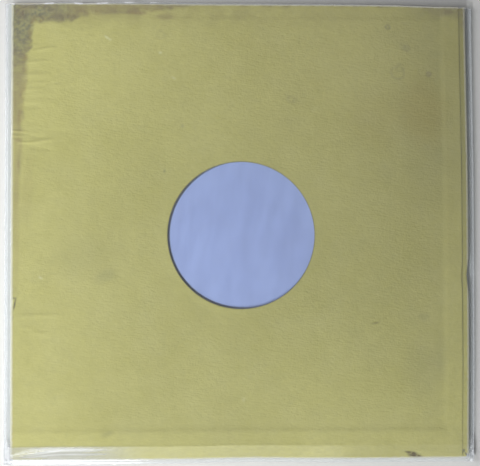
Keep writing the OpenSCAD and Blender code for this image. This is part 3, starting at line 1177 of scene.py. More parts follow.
@dataclass(frozen=True)
class LabelPaper:
    """Plain label paper, darker along its edge and in the pressed ring, with light trails round
    the hole that turntable spindles have left.

    Attributes:
        radius: Radius of the label.
        ring: Radius of the pressed ring.
        colour: Colour of the paper.
        aged: Colour of its aged parts.
    """

    radius: float
    ring: float
    colour: Colour = srgb(230, 225, 205)
    aged: Colour = srgb(190, 176, 140)

    def make(self) -> bpy.types.Material:
        """Builds the finish.

        Returns:
            The material.
        """
        graph = Graph("label_paper")
        point = graph.place()
        x, y, _ = graph.axes(point)
        reach = graph.distance(x, y - MIDDLE_Y)
        clouds, fibres = graph.noise(point, 12, 4, 0.6), graph.noise(point, 0.5, 3, 0.6)
        aged = graph.most(
            graph.rise(reach + clouds * 3, self.radius - 1.5, self.radius + 2.0) * 0.7,
            graph.fall(abs(reach - self.ring), 0.3, 1.2) * 0.45,
            graph.fall(reach + clouds * 4, 5, 11) * graph.rise(fibres, 0.35, 0.6) * 0.5,
            graph.rise(clouds, 0.45, 0.8) * 0.35,
        )
        colour = graph.dim(graph.mix(aged, self.colour, self.aged), (fibres - 0.5) * 0.10 + 1)
        return graph.coat(colour, fibres * 0.1 + 0.55, 0.35, graph.relief(fibres * 0.03))


@dataclass(frozen=True)
class Settling:
    """How the layers above the disc sink beyond its rim, towards the bottom corners.

    Attributes:
        depth: How far they sink at a corner.
        rim: Radius where they begin to sink.
        corner: Radius where they have sunk in full.
    """

    depth: float = 0.9
    rim: float = 149.0
    corner: float = 220.0

    def at(self, x: Array, y: Array) -> Array:
        """Gives a smooth step by the distance from the disc's middle, but none at the top."""
        radius = np.hypot(x, y - MIDDLE_Y)
        return -self.depth * smooth(radius, self.rim, self.corner) * (1 - smooth(y, -70, 0))


SETTLING = Settling()


@dataclass
class CardJacket:
    """The jacket's card blank: both windowed panels, the spine fold, and the right and bottom
    folds with their glue flaps.

    Attributes:
        card: Thickness of the card.
        flap_edge: X of the right flap's free edge.
        foot_flap_edge: Y of the bottom flap's free edge.
        step: Height from the panel over the flaps down to the panel over the sleeve.
        step_run: Width of that step.
        mouth_step: Y where the small step over the sleeve's mouth begins and ends, and its height.
        fold_power: How square the folds are pressed, less being squarer.
        mitre: Gap between the two flaps where they meet.
        taper: How much shorter a flap's free edge is at its outer end.
        curl: How far the window's edge is lifted at its lower left side.
        swell: Height of the slow waves.
        pucker: Height of the fine puckers beside the spine.
        sparse: How many times further apart the columns of the hidden layers stand.
        loop_points: Points round a fold.
        bruise: How far the bottom right corner is pushed in.
        dent: Place along the right edge, width and depth of its dent.
    """

    card: float = 0.4
    flap_edge: float = 142.8
    foot_flap_edge: float = -137.4
    step: float = 0.35
    step_run: float = 3.8
    mouth_step: tuple[float, float, float] = (147.0, 149.4, 0.2)
    fold_power: float = 0.5
    mitre: float = 0.5
    taper: float = 6.0
    curl: float = 0.40
    swell: float = 0.045
    pucker: float = 0.05
    sparse: float = 4.0
    loop_points: int = 13
    bruise: float = 3.2
    dent: tuple[float, float, float] = (-30.0, 7.0, 1.4)

    CREASES = (
        Crease((-153.0, 61.6), (-139, 61.4), 0.8, 0.44),
        Crease((-143.5, 61.8), (-127, 64.0), 1.3, 0.44),
        Crease((-146.0, 66.0), (-133, 65.0), 1.6, -0.24),
        Crease((-157.5, 69.8), (-146, 68.8), 0.8, 0.38),
        Crease((-157.5, 66.4), (-147, 65.8), 0.7, 0.28),
        Crease((-157.0, 63.6), (-149, 63.2), 0.7, 0.24),
        Crease((-130.0, 69.6), (-114, 68.8), 1.7, -0.20),
        Crease((-143.5, 58.6), (-129, 56.6), 1.5, -0.22),
        Crease((-150.0, 49.4), (-132, 46.0), 1.6, 0.16),
        Crease((-156.5, -57.2), (-118, -56.2), 1.4, 0.36),
        Crease((-151.0, -65.0), (-142, -65.6), 0.9, 0.26),
        Crease((-144.0, -68.2), (-130, -69.4), 1.3, 0.26),
        Crease((-142.5, 124.6), (-126, 127.4), 0.9, 0.34),
        Crease((-146.5, 128.0), (-137, 128.2), 0.8, 0.20),
        Crease((-146.5, 116.6), (-132, 117.8), 1.0, 0.36),
        Crease((-149.0, 108.0), (-131, 108.8), 1.6, 0.26),
        Crease((-143.0, 102.6), (-133, 103.0), 0.9, 0.22),
        Crease((-149.5, 98.0), (-134, 98.4), 0.8, 0.18),
        Crease((-150.0, 93.6), (-136, 94.6), 0.9, 0.15),
        Crease((-150.0, 86.4), (-137, 87.0), 1.5, -0.22),
        Crease((-141.0, 142.0), (-130, 144.2), 0.9, 0.30),
        Crease((-132.0, 144.2), (-115, 139.8), 0.9, 0.30),
        Crease((-152.8, -44.0), (-155.6, -60.0), 0.7, 0.16),
        Crease((-120.0, -85.0), (-108, -91.0), 1.4, 0.20),
        Crease((-150.0, -129.0), (-60, -132), 6.0, 0.08),
        Crease((-126.0, -146.9), (74, -147.2), 0.8, 0.12),
        Crease((95.0, -150.0), (141, -152), 2.0, 0.08),
        Crease((148.5, -147.5), (156.5, -154.5), 0.8, 0.09),
    )

    def __post_init__(self) -> None:
        """Reads the outlines and heights from the frame."""
        self.front_low, self.front_high = span("jacket_front_panel")
        self.back_low, self.back_high = span("jacket_back_panel")
        self.low, self.high = span("jacket_spine_fold", "jacket_right_fold", "jacket_bottom_fold")
        flap_low, flap_high = span("jacket_right_flap")
        self.front_z = (self.front_low[2] + self.front_high[2]) / 2
        self.back_z = (self.back_low[2] + self.back_high[2]) / 2
        self.flap_z = (flap_low[2] + flap_high[2]) / 2
        self.spine_x, self.fold_x = self.front_low[0], self.back_high[0]
        self.fold_y = self.back_low[1]
        self.window = RoundWindow(0.0, MIDDLE_Y, WINDOW_RADIUS)
        self.waves = Ripples(seed=11, shortest=16, longest=70)
        self.puckers = Ripples(seed=4, shortest=4, longest=9, heading=86, spread=14)

    def rows(self) -> Array:
        """Gives the rows of the front panel, from its foot to its mouth.

        Returns:
            Their y.
        """
        window, low, high = self.window, self.front_low[1], self.front_high[1]
        below = lines(low, (-144, 0.8), (-134, 1.0), (-92, 2.8), (-75, 1.4),
                      (window.y - window.radius, 0.9))
        above = lines(window.y + window.radius, (56, 1.6), (72, 0.6), (130, 0.8), (150, 1.3),
                      (high, 1.0))
        return np.concatenate([below[:-1], window.block(window.y), above[1:]])

    def columns(self, end: float, coarse: float) -> Array:
        """Gives the columns of a panel, from the spine to its end.

        Args:
            end: X of the panel's end.
            coarse: How many times wider they stand than on the front.

        Returns:
            Their x.
        """
        window = self.window
        left = lines(self.spine_x, (-150, 0.9 * coarse), (-118, 1.5 * coarse),
                     (window.x - window.radius, 3.0 * coarse))
        right = lines(window.x + window.radius, (134, 3.4 * coarse), (146, 1.0 * coarse),
                      (end, 1.3 * coarse))
        return np.concatenate([left[:-1], window.block(window.x), right[1:]])

    def front_height(self, x: Array, y: Array) -> Array:
        """Gives the front panel's height: the step down inside the flaps, the wrinkles beside the
        spine, slow waves, and the window's lifted edge, added up.

        Args:
            x: X of the points.
            y: Y of the points.

        Returns:
            The height.
        """
        beside = 1 - smooth(x, self.flap_edge - self.step_run, self.flap_edge - 0.1)
        above = smooth(y, self.foot_flap_edge + 0.1, self.foot_flap_edge + self.step_run)
        inner = beside * above
        height = self.front_z + SETTLING.at(x, y) - self.step * inner
        start, end, drop = self.mouth_step
        height -= drop * smooth(y, start, end) * beside
        height += self.waves.at(x, y) * self.swell * inner
        height += sum(crease.at(x, y) for crease in self.CREASES)
        strip = smooth(x, -156, -149) * (1 - smooth(x, -140, -124))
        puckered = strip * smooth(y, 40, 75) * (1 - smooth(y, 128, 142))
        height += self.puckers.at(x, y) * self.pucker * puckered
        dx, dy = x - self.window.x, y - self.window.y
        radius = np.maximum(np.hypot(dx, dy), 1.0)
        facing = 0.55 - 0.45 * (dx * 0.75 + dy * 0.66) / radius
        lift = (1 - smooth(radius, self.window.radius, self.window.radius + 9)) ** 2
        return height + self.curl * facing * lift

    def flap_height(self, x: Array, y: Array) -> Array:
        """Gives the flaps' height, which sinks towards the corners as the panel does."""
        return self.flap_z + SETTLING.at(x, y)

    def pushed(self, x: Array, y: Array) -> tuple[Array, Array]:
        """Pushes the bottom right corner in along its diagonal, and dents the right edge.

        Args:
            x: X of the points.
            y: Y of the points.

        Returns:
            The new x and y.
        """
        past = (x - self.high[0]) + (self.low[1] - y) + self.bruise
        push = np.maximum(past, 0) / 2
        along = (y - self.dent[0]) / self.dent[1]
        dent = self.dent[2] * np.exp(-(along**2)) * smooth(x, 146, 157)
        return x - push - dent, y + push

    def placed(self, grid: Grid) -> Grid:
        """Gives the grid with its corner pushed in and its edge dented."""
        x, y = self.pushed(grid.x, grid.y)
        return Grid(x, y, grid.z, grid.kept)

    def panel(self, columns: Array, low: float, high: float, is_front: bool) -> Grid:
        """Lays out a windowed panel.

        Args:
            columns: Its columns, in the order that turns its outer face outwards.
            low: Y of its foot.
            high: Y of its mouth.
            is_front: Whether it is the front panel.

        Returns:
            The panel's grid.
        """
        x, y = np.meshgrid(columns, self.rows())
        x, y, kept = self.window.cut(x, y)
        y = move_ends(y, np.full(x.shape[1], low), np.full(x.shape[1], high))
        z = self.front_height(x, y) if is_front else np.full_like(x, self.back_z)
        return Grid(x, y, z, kept)

    def upright_fold(self, join: float, outer: float, is_spine: bool) -> Grid:
        """Lays out the spine fold or the right fold: a half loop between the heights of the two
        layers that it joins, carried along Y.

        Args:
            join: X where the fold begins.
            outer: X of its back.
            is_spine: Whether it is the spine fold.

        Returns:
            The fold's grid.
        """
        reach, level = half_loop(self.loop_points, self.fold_power)
        low = np.interp(level, [-1, 1], [self.back_low[1], self.front_low[1]])
        high = np.interp(level, [-1, 1], [self.back_high[1], self.front_high[1]])
        if not is_spine:
            low = self.fold_y + self.mitre * smooth(level, -1, 1)
        x, y = np.meshgrid(join + (outer - join) * reach, self.rows())
        y = move_ends(y, low, high)
        at = np.full_like(x, join)
        upper = self.front_height(at, y) if is_spine else self.flap_height(at, y)
        grid = Grid(x, y, between(self.back_z, upper, level))
        return grid if is_spine else grid.flipped()

    def foot_fold(self) -> Grid:
        """Lays out the bottom fold: a half loop carried along X.

        Returns:
            The fold's grid.
        """
        reach, level = half_loop(self.loop_points, self.fold_power)
        columns = self.columns(self.fold_x, self.sparse)
        outer = self.low[1] + self.card / 2
        x, y = np.meshgrid(columns, self.fold_y + (outer - self.fold_y) * reach)
        upper = self.flap_height(x, np.full_like(x, self.fold_y))
        return Grid(x, y, between(self.back_z, upper, level[:, None]))

    def side_flap(self) -> Grid:
        """Lays out the right flap, whose free edge is shortened at both ends.

        Returns:
            The flap's grid.
        """
        columns = lines(self.flap_edge, (self.fold_x, 2.2))
        inward = self.fold_x - columns
        x, y = np.meshgrid(columns, self.rows())
        low = self.fold_y + self.mitre + inward * 1.2
        high = self.front_high[1] - self.taper * inward / inward.max()
        y = move_ends(y, low, high)
        return Grid(x, y, self.flap_height(x, y))

    def foot_flap(self) -> Grid:
        """Lays out the bottom flap, whose free edge is shortened at both ends.

        Returns:
            The flap's grid.
        """
        columns = self.columns(self.fold_x, self.sparse)
        rows = lines(self.fold_y, (self.foot_flap_edge, 1.7))
        x, y = np.meshgrid(columns, rows)
        inward = (rows - self.fold_y) / (self.foot_flap_edge - self.fold_y)
        left = self.spine_x + self.taper * inward
        right = self.fold_x - (self.fold_x - self.flap_edge + 1) * inward
        x = move_ends(x.T, left, right).T
        return Grid(x, y, self.flap_height(x, y))

    def build(self) -> list[bpy.types.Object]:
        """Builds the jacket and its glue lines.

        Returns:
            The two pieces.
        """
        half = self.card / 2
        front = self.columns(self.front_high[0], 1.0)
        back = self.columns(self.fold_x, self.sparse)[::-1]
        grids = [
            self.side_flap(),
            self.upright_fold(self.fold_x, self.high[0] - half, is_spine=False),
            self.panel(back, self.back_low[1], self.back_high[1], is_front=False),
            self.upright_fold(self.spine_x, self.low[0] + half, is_spine=True),
            self.panel(front, self.front_low[1], self.front_high[1], is_front=True),
            self.foot_fold(),
            self.foot_flap(),
        ]
        inside = PlainSheet("card_inside", srgb(206, 200, 172), srgb(192, 184, 150), contrast=0.16)
        core = PlainSheet("card_core", srgb(202, 196, 172), srgb(150, 142, 118), blot_size=5)
        finishes = [CardFace().make(), inside.make(), core.make()]
        nodes = ["jacket_front_panel", "jacket_back_panel", "jacket_spine_fold",
                 "jacket_right_fold", "jacket_right_flap", "jacket_bottom_fold",
                 "jacket_bottom_flap"]
        jacket = make_piece("card_jacket", [self.placed(g) for g in grids], self.card, finishes,
                            Body.JACKET, nodes)
        return [jacket, self.build_glue()]

    def build_glue(self) -> bpy.types.Object:
        """Builds the glue lines between the flaps and the front panel.

        Returns:
            The piece.
        """
        low, high = span("jacket_glue_lines")
        middle_z = (self.flap_z + self.front_z) / 2
        strips = []
        for left, right, foot, top in (
            (self.flap_edge + 1.5, high[0], self.foot_flap_edge + 2, high[1]),
            (low[0], self.flap_edge - 2, low[1], self.foot_flap_edge - 2),
        ):
            x, y = np.meshgrid(lines(left, (right, 4)), lines(foot, (top, 4)))
            strips.append(Grid(x, y, middle_z + SETTLING.at(x, y)))
        glue = PlainSheet("dry_glue", srgb(226, 220, 190), srgb(206, 192, 150), contrast=0.05)
        return make_piece("jacket_glue", strips, GLUE, [glue.make()], Body.JACKET,
                          ["jacket_glue_lines"])


@dataclass
class PaperSleeve:
    """The inner sleeve's paper blank: two leaves, the bottom fold, the side folds and side flaps.

    Attributes:
        paper: Thickness of the paper.
        taper: How much shorter a flap's free edge is at each end.
        swell: Height of the front leaf's upright waves.
        loop_points: Points round a fold.
    """

    paper: float = 0.1
    taper: float = 6.0
    swell: float = 0.07
    loop_points: int = 11

    CREASES = (
        Crease((-19.5, -24.0), (-9.0, -44.0), 1.8, -0.12),
        Crease((-13.5, -26.0), (-7.5, -43.0), 1.2, 0.10),
        Crease((-5.0, -20.0), (-2.0, -46.0), 1.6, 0.06),
    )

    def __post_init__(self) -> None:
        """Reads the outlines and heights from the frame."""
        self.front_low, self.front_high = span("sleeve_front_leaf")
        self.back_low, _ = span("sleeve_back_leaf")
        self.low, self.high = span("sleeve_left_fold", "sleeve_right_fold", "sleeve_bottom_fold")
        _, self.flap_high = span("sleeve_left_flap")
        half = self.paper / 2
        self.front_z = self.front_low[2] + half
        self.back_z = self.back_low[2] + half
        self.flap_z = self.flap_high[2] - half
        self.waves = Ripples(seed=23, shortest=7, longest=26, heading=-8, spread=9, count=18)

    def front_height(self, x: Array, y: Array) -> Array:
        """Gives the front leaf's height: upright waves that fade out at the folds, and creases.

        Args:
            x: X of the points.
            y: Y of the points.

        Returns:
            The height.
        """
        calm = 1 - smooth(abs(x), 120, 148)
        height = self.front_z + SETTLING.at(x, y) + self.swell * calm * self.waves.at(x, y)
        return height + sum(crease.at(x, y) for crease in self.CREASES)

    def rows(self) -> Array:
        """Gives the rows of the leaves, from the foot to the mouth."""
        return lines(self.front_low[1], (-140, 2), (self.front_high[1], 5))

    def side_fold(self, hand: Hand) -> Grid:
        """Lays out the left or right fold, from its flap round to the front leaf.

        Args:
            hand: Which of the two.

        Returns:
            The fold's grid.
        """
        reach, level = half_loop(self.loop_points)
        join = hand.value * self.front_high[0]
        outer = hand.value * (self.high[0] - self.paper / 2)
        x, y = np.meshgrid(join + (outer - join) * reach, self.rows())
        upper = self.front_height(np.full_like(x, join), y)
        grid = Grid(x, y, between(self.flap_z, upper, level))
        return grid if hand is Hand.LEFT else grid.flipped()

    def side_flap(self, hand: Hand) -> Grid:
        """Lays out the left or right flap under the back leaf.

        Args:
            hand: Which of the two.

        Returns:
            The flap's grid.
        """
        side = hand.value
        edge, join = side * abs(self.flap_high[0]), side * self.front_high[0]
        columns = lines(join, (edge, 2.5))
        inward = abs(columns - join)
        x, y = np.meshgrid(columns[::side], self.rows())
        cut = (self.taper * inward / inward.max())[::side]
        y = move_ends(y, self.front_low[1] + cut, self.front_high[1] - cut)
        return Grid(x, y, np.full_like(x, self.flap_z))

    def build(self) -> list[bpy.types.Object]:
        """Builds the sleeve and its glue lines.

        Returns:
            The two pieces.
        """
        columns = lines(self.front_low[0], (-60, 4), (60, 1.3), (self.front_high[0], 4))
        x, y = np.meshgrid(columns, self.rows())
        front = Grid(x, y, self.front_height(x, y))
        back = Grid(x, y, np.full_like(x, self.back_z)).flipped()
        reach, level = half_loop(self.loop_points)
        join = self.front_low[1]
        fold_x, fold_y = np.meshgrid(columns, join + (self.low[1] + self.paper / 2 - join) * reach)
        upper = self.front_height(fold_x, np.full_like(fold_x, join))
        foot = Grid(fold_x, fold_y, between(self.back_z, upper, level[:, None]))
        sides = [make(hand) for hand in Hand for make in (self.side_fold, self.side_flap)]
        nodes = ["sleeve_front_leaf", "sleeve_back_leaf", "sleeve_bottom_fold", "sleeve_left_fold",
                 "sleeve_right_fold", "sleeve_left_flap", "sleeve_right_flap"]
        sleeve = make_piece("inner_sleeve", [front, back, foot, *sides], self.paper,
                            [SleevePaper().make()], Body.SLEEVE, nodes)
        return [sleeve, self.build_glue()]

    def build_glue(self) -> bpy.types.Object:
        """Builds the glue lines between the side flaps and the back leaf.

        Returns:
            The piece.
        """
        low, high = span("sleeve_glue_lines")
        edge = abs(self.flap_high[0]) + 2
        strips = []
        for left, right in ((-high[0], -edge), (edge, high[0])):
            x, y = np.meshgrid(lines(left, (right, 4)), lines(low[1], (high[1], 6)))
            strips.append(Grid(x, y, np.full_like(x, (low[2] + high[2]) / 2)))
        glue = PlainSheet("sleeve_glue", srgb(224, 221, 204), srgb(208, 200, 172), contrast=0.05)
        return make_piece("sleeve_glue_line", strips, GLUE, [glue.make()], Body.SLEEVE,
                          ["sleeve_glue_lines"])


@dataclass
class FilmCover:
    """The clear cover: two films, joined by the side welds and the bottom fold, open at the top.

    Attributes:
        film: Thickness of the film.
        rest: Height of the front film over the jacket.
        lip: Width of a weld.
        skew: How far the left and the right weld lean, over the whole length.
        streak: Depth of the sunken strip along the jacket's bottom edge, at its left part.
        swell: Height of the front film's slow waves.
        follow: How far it sinks with the layers under it, as a share.
        sag: How far it sags along the bottom edge.
        crush: Height of the crumpled corners.
    """

    film: float = 0.1
    rest: float = 4.66
    lip: float = 1.6
    skew: tuple[float, float] = (0.2, 1.0)
    streak: float = 0.34
    swell: float = 0.035
    follow: float = 0.7
    sag: float = 0.12
    crush: float = 0.35

    NODES = ("cover_front_film", "cover_back_film", "cover_left_weld", "cover_right_weld",
             "cover_bottom_fold")
    # Upper edge of the sunken strip and its width, by x
    STRIP_TOP = ((-156, -151.0), (-150, -148.9), (-146, -147.3), (-135, -146.2), (-120, -145.6),
                 (-86, -145.4))
    STRIP_WIDTH = ((-156, 3.0), (-148, 4.6), (-134, 6.6))

    def __post_init__(self) -> None:
        """Reads the outline from the frame."""
        self.low, self.high = span(*self.NODES)
        self.flat_low, self.flat_high = span("cover_front_film")
        self.middle_z = (self.low[2] + self.high[2]) / 2
        self.card_top = span("jacket_front_panel")[1][2]
        half = self.film / 2
        self.edge, self.foot = self.high[0] - half, self.low[1] + half
        self.mouth = self.high[1] - half
        self.waves = Ripples(seed=7, shortest=14, longest=60)
        self.crumple = Ripples(seed=31, shortest=2.2, longest=7, count=20)

    def full(self, x: Array, y: Array) -> Array:
        """Gives how far the two films stand apart, 1 over the jacket and 0 at the welds.

        Args:
            x: X of the points.
            y: Y of the points.

        Returns:
            The share, 0 to 1.
        """
        beside = 1 - smooth(abs(x), self.flat_high[0] - 0.6, self.edge - self.lip)
        below = smooth(y, self.foot + 0.4, self.flat_low[1] + 0.5)
        return beside * below

    def front_height(self, x: Array, y: Array) -> Array:
        """Gives the front film's height over the jacket: slow waves, the sinking over the bottom
        corners, and the sunken strip along the left part of the bottom edge, which lies on the card
        where it is deepest.

        Args:
            x: X of the points.
            y: Y of the points.

        Returns:
            The height.
        """
        strip_top = np.interp(x, *np.array(self.STRIP_TOP).T)
        strip_width = np.interp(x, *np.array(self.STRIP_WIDTH).T)
        strip = smooth((strip_top - y) / strip_width, 0.0, 1.0) * (1 - smooth(x, -94, -62))
        sunk = SETTLING.at(x, y)
        along_foot = smooth(-146.5 - y, 0, 9) * self.sag
        height = self.rest + self.swell * self.waves.at(x, y) + self.follow * sunk
        depth = np.minimum(self.streak * strip_width / 6, -0.5 * sunk + 0.12)
        return np.maximum(height - along_foot - strip * depth, self.card_top + sunk + self.film)

    def build(self) -> list[bpy.types.Object]:
        """Builds the cover.

        Returns:
            The one piece.
        """
        edge, bend = self.edge, self.flat_high[0]
        half = lines(0, (84, 6), (bend - 2, 2.2), (edge - 0.05, 0.42), (edge, 1))
        columns = np.concatenate([-half[:0:-1], half])
        foot, mouth = self.foot, self.mouth
        rows = lines(foot, (foot + 0.05, 1), (foot + 5, 0.45), (-140, 0.8), (140, 4), (mouth, 1.5))
        x, y = np.meshgrid(columns, rows)
        outside = smooth(abs(x), bend - 1, bend + 1)
        up = (y - foot) / (mouth - foot)
        lean = np.where(x < 0, up * self.skew[0], (up - 1) * self.skew[1]) * outside
        mouth_line = np.interp(x[0], *np.array(MOUTH).T)
        y = move_ends(y, np.full(x.shape[1], foot), mouth_line)
        full = self.full(x, y)
        corners = smooth(abs(x), 153, 158) * (1 - smooth(y, -152, -143))
        inner = (abs(x) < edge) * (y > foot)
        crumple = self.crumple.at(x, y) * self.crush * corners * inner
        top = self.front_height(x, y)
        seam = self.film * 0.6 * inner
        front = self.middle_z + crumple + seam + (top - self.middle_z - seam) * full
        back = self.middle_z + crumple - seam + (self.film / 2 - self.middle_z + seam) * full
        lowest, highest = self.film / 2, self.high[2] - self.film / 2
        back, front = (np.clip(z - crumple * full, lowest, highest) for z in (back, front))
        x = x + lean
        grids = [Grid(x, y, front), Grid(x, y, back).flipped()]
        return [make_piece("film_cover", grids, self.film, [ClearFilm().make()], Body.COVER,
                           list(self.NODES), crease_angle=75)]


@dataclass
class PressedDisc:
    """The vinyl pressing and its two labels, each a section turned about the spindle's axis.

    Attributes:
        hole: Radius of the spindle hole.
        label: Radius of a label.
        label_paper: Thickness of a label.
        surround: Width of the raised ring round the label.
        slope: Width of the slope from that ring to the land.
        land_drop: Depth of the land below the label.
        lock_groove: Radius of the closed groove.
        first_band: Radius where the bands begin.
        last_band: Radius where they end.
        bands: Number of bands.
        gap: Width of the land between bands.
        band_depth: Depth of the bands below the land.
        bead: Width of the raised bead at the rim.
        rim_round: Radius of the rim's edge.
        ring: Radius, half width and depth of the ring pressed into the label.
        around: Number of steps round the disc.
        crease_angle: Edges sharper than this, in degrees, stay sharp.
    """

    hole: float = 3.62
    label: float = 50.0
    label_paper: float = 0.1
    surround: float = 1.5
    slope: float = 1.2
    land_drop: float = 0.18
    lock_groove: float = 54.5
    first_band: float = 60.5
    last_band: float = 146.0
    bands: int = 5
    gap: float = 1.0
    band_depth: float = 0.04
    bead: float = 2.2
    rim_round: float = 0.6
    ring: tuple[float, float, float] = (16.5, 0.6, 0.15)
    around: int = 288
    crease_angle: float = 35.0

    def __post_init__(self) -> None:
        """Reads the disc's place from the frame."""
        low, high = span("disc")
        self.centre, self.half, self.rim = (low + high) / 2, (high[2] - low[2]) / 2, high[0]

    def label_line(self, height: float) -> list[Point]:
        """Gives the line of the label area at a height, with the pressed ring in it.

        Args:
            height: Height of the label's face.

        Returns:
            Radii and heights, from the hole outwards.
        """
        radius, half_width, depth = self.ring
        bend = 0.25
        return [
            (self.hole, height - bend * 0.4), (self.hole + bend, height),
            (radius - half_width, height), (radius - half_width * 0.4, height - depth),
            (radius + half_width * 0.4, height - depth), (radius + half_width, height),
            (self.label - 0.02, height),
        ]

    def face_line(self) -> list[Point]:
        """Gives one face's line from the hole to the rim, as radii and heights: the seat of the
        label, the surround, the closed groove, the bands, the bead and the rounded edge.

        Returns:
            Radii and heights.
        """
        top, land = self.half, self.half - self.land_drop
        edge = self.label + self.surround
        line = self.label_line(top - self.label_paper)
        line += [(self.label, top - 0.03), (self.label + 0.2, top), (edge, top),
                 (edge + self.slope * 0.5, top - self.land_drop * 0.5), (edge + self.slope, land),
                 (self.lock_groove - 0.15, land), (self.lock_groove, land - 0.06),
                 (self.lock_groove + 0.15, land)]
        pitch = (self.last_band - self.first_band) / self.bands
        for number in range(self.bands):
            start = self.first_band + number * pitch
            end = start + pitch - self.gap
            line += [(start, land), (start + 0.1, land - self.band_depth),
                     (end - 0.1, land - self.band_depth), (end, land)]
        round_x = self.rim - self.rim_round
        line += [(self.rim - self.bead, land), (self.rim - self.bead * 0.6, land + 0.09)]
        turns = np.radians(np.linspace(90, 0, 7))
        line += [(round_x + self.rim_round * np.cos(t),
                  top - self.rim_round + self.rim_round * np.sin(t)) for t in turns]
        return line

    def turned(self, line: list[Point]) -> Grid:
        """Turns a closed line about the spindle's axis: x is the radius times the cosine of the
        angle, y times its sine, and the angle falls so that the faces point outwards.

        Args:
            line: Radii and heights, walked outwards along the top and back along the bottom.

        Returns:
            The turned grid, whose first column is its last.
        """
        radius, height = np.array([*line, line[0]]).T
        angle = np.linspace(2 * np.pi, 0, self.around + 1)
        angle[-1] = angle[0]
        x = self.centre[0] + np.multiply.outer(radius, np.cos(angle))
        y = self.centre[1] + np.multiply.outer(radius, np.sin(angle))
        z = self.centre[2] + np.multiply.outer(height, np.ones_like(angle))
        return Grid(x, y, z)

    def build(self) -> list[bpy.types.Object]:
        """Builds the disc and the two labels.

        Returns:
            The three pieces.
        """
        face = self.face_line()
        section = face + [(r, -h) for r, h in reversed(face)]
        vinyl = Vinyl(self.first_band, self.last_band).make()
        pieces = [make_piece("vinyl_disc", [self.turned(section)], 0, [vinyl], Body.DISC,
                             ["disc"], self.crease_angle)]
        paper = LabelPaper(self.label, self.ring[0]).make()
        for side in Side:
            upper = self.label_line(self.half)
            lower = self.label_line(self.half - self.label_paper * 0.9)
            line = upper + lower[::-1]
            if side is Side.B:
                line = [(r, -h) for r, h in reversed(line)]
            letter = side.name.lower()
            pieces.append(make_piece(f"label_{letter}", [self.turned(line)], 0, [paper], Body.DISC,
                                     [f"label_side_{letter}"], self.crease_angle))
        return pieces


@dataclass(frozen=True)
class Lamp:
    """A soft square lamp that shines on the middle of the record.

    Attributes:
        name: Name of the lamp.
        place: Its place, in millimetres.
        size: Its width, in millimetres.
        power: Its power in watts.
    """

    name: str
    place: tuple[float, float, float]
    size: float
    power: float

    def hang(self) -> None:
        """Adds the lamp to the scene."""
        light = bpy.data.lights.new(self.name, "AREA")
        light.shape, light.size, light.energy = "SQUARE", self.size * MM, self.power
        lamp = bpy.data.objects.new(self.name, light)
        lamp.location = [v * MM for v in self.place]
        lamp.rotation_mode = "QUATERNION"
        lamp.rotation_quaternion = lamp.location.to_track_quat("Z", "Y")
        bpy.context.scene.collection.objects.link(lamp)


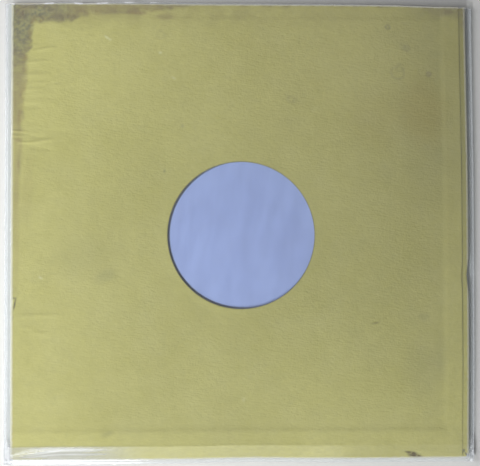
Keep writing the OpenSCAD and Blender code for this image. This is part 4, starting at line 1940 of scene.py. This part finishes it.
@dataclass
class Studio:
    """The camera above the record, the soft lamps, the pale floor and the plain surroundings.

    Attributes:
        eye: Place of the camera, in millimetres.
        turn: Turn of the camera about X, Y and Z, in degrees, the turn about Z first.
        lens: Focal length.
        sensor: Width of the camera's sensor.
        near: The nearest distance that the camera sees, in metres.
        lamps: The lamps.
        ambient: Strength of the surroundings.
        floor: Colour of the floor.
        floor_reach: Half the width of the floor.
        floor_gap: Depth of the floor below the cover.
    """

    eye: tuple[float, float, float] = (-19.76, -15.52, 662.92)
    turn: tuple[float, float, float] = (1.297, -1.644, -0.083)
    lens: float = 72.0
    sensor: float = 36.0
    near: float = 0.01
    lamps: tuple[Lamp, ...] = (
        Lamp("window_light", (-620.0, 0.0, 450.0), 420.0, 3.62),
        Lamp("foot_light", (-300.0, -1100.0, 600.0), 300.0, 10.8),
        Lamp("side_light", (-250.0, -420.0, 600.0), 120.0, 0.26),
    )
    ambient: float = 0.08
    floor: tuple[float, float, float] = (0.86, 0.86, 0.85)
    floor_reach: float = 2500.0
    floor_gap: float = 0.3

    def build(self) -> None:
        """Builds the camera, the lamps, the floor and the world."""
        scene = bpy.context.scene
        scene.view_settings.view_transform = "Standard"
        camera = bpy.data.objects.new("camera", bpy.data.cameras.new("camera"))
        camera.data.lens, camera.data.sensor_width = self.lens, self.sensor
        camera.data.clip_start = self.near
        camera.rotation_mode = "ZYX"
        camera.location = [v * MM for v in self.eye]
        camera.rotation_euler = [float(np.radians(v)) for v in self.turn]
        scene.collection.objects.link(camera)
        scene.camera = camera
        for lamp in self.lamps:
            lamp.hang()
        self.lay_floor()
        self.surround()

    def lay_floor(self) -> None:
        """Lays the pale floor just under the cover's back film."""
        graph = Graph("pale_floor")
        colour = graph.dim(self.floor, graph.noise(graph.place(), 2.5, 3) * 0.04 + 0.98)
        places = lines(-self.floor_reach, (self.floor_reach, 500))
        x, y = np.meshgrid(places, places)
        grid = Grid(x, y, np.full_like(x, -self.floor_gap))
        mesh = bpy.data.meshes.new("floor")
        points = np.stack([grid.x, grid.y, grid.z], axis=-1).reshape(-1, 3) * MM
        mesh.from_pydata(points.tolist(), [], grid.faces(0).tolist())
        mesh.materials.append(graph.coat(colour, 0.9, 0.1))
        floor = bpy.data.objects.new("floor", mesh)
        bpy.context.scene.collection.objects.link(floor)

    def surround(self) -> None:
        """Sets even soft surroundings, which the camera, mirrors and glass see as white."""
        graph = Graph("surroundings", is_world=True)
        rays = ("Is Camera Ray", "Is Glossy Ray", "Is Transmission Ray")
        seen = graph.most(*(graph.node("ShaderNodeLightPath", output=ray) for ray in rays))
        ends = {"Value": seen, "To Min": self.ambient, "To Max": 1.0}
        strength = graph.node("ShaderNodeMapRange", {}, ends)
        sockets = {"Color": (1.0, 1.0, 1.0, 1.0), "Strength": strength}
        bpy.context.scene.world = graph.finish(graph.node("ShaderNodeBackground", {}, sockets))


def main() -> None:
    """Builds the record in its packing and the studio round it."""
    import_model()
    makers = [CardJacket(), PaperSleeve(), PressedDisc(), FilmCover()]
    for maker in makers:
        for piece in maker.build():
            faces = len(piece.data.polygons)
            LOG.info("%s: %s, %d faces", type(maker).__name__, piece.name, faces)
    Studio().build()


if __name__ == "__main__":
    logging.basicConfig(level=logging.INFO, format="%(message)s")
    main()
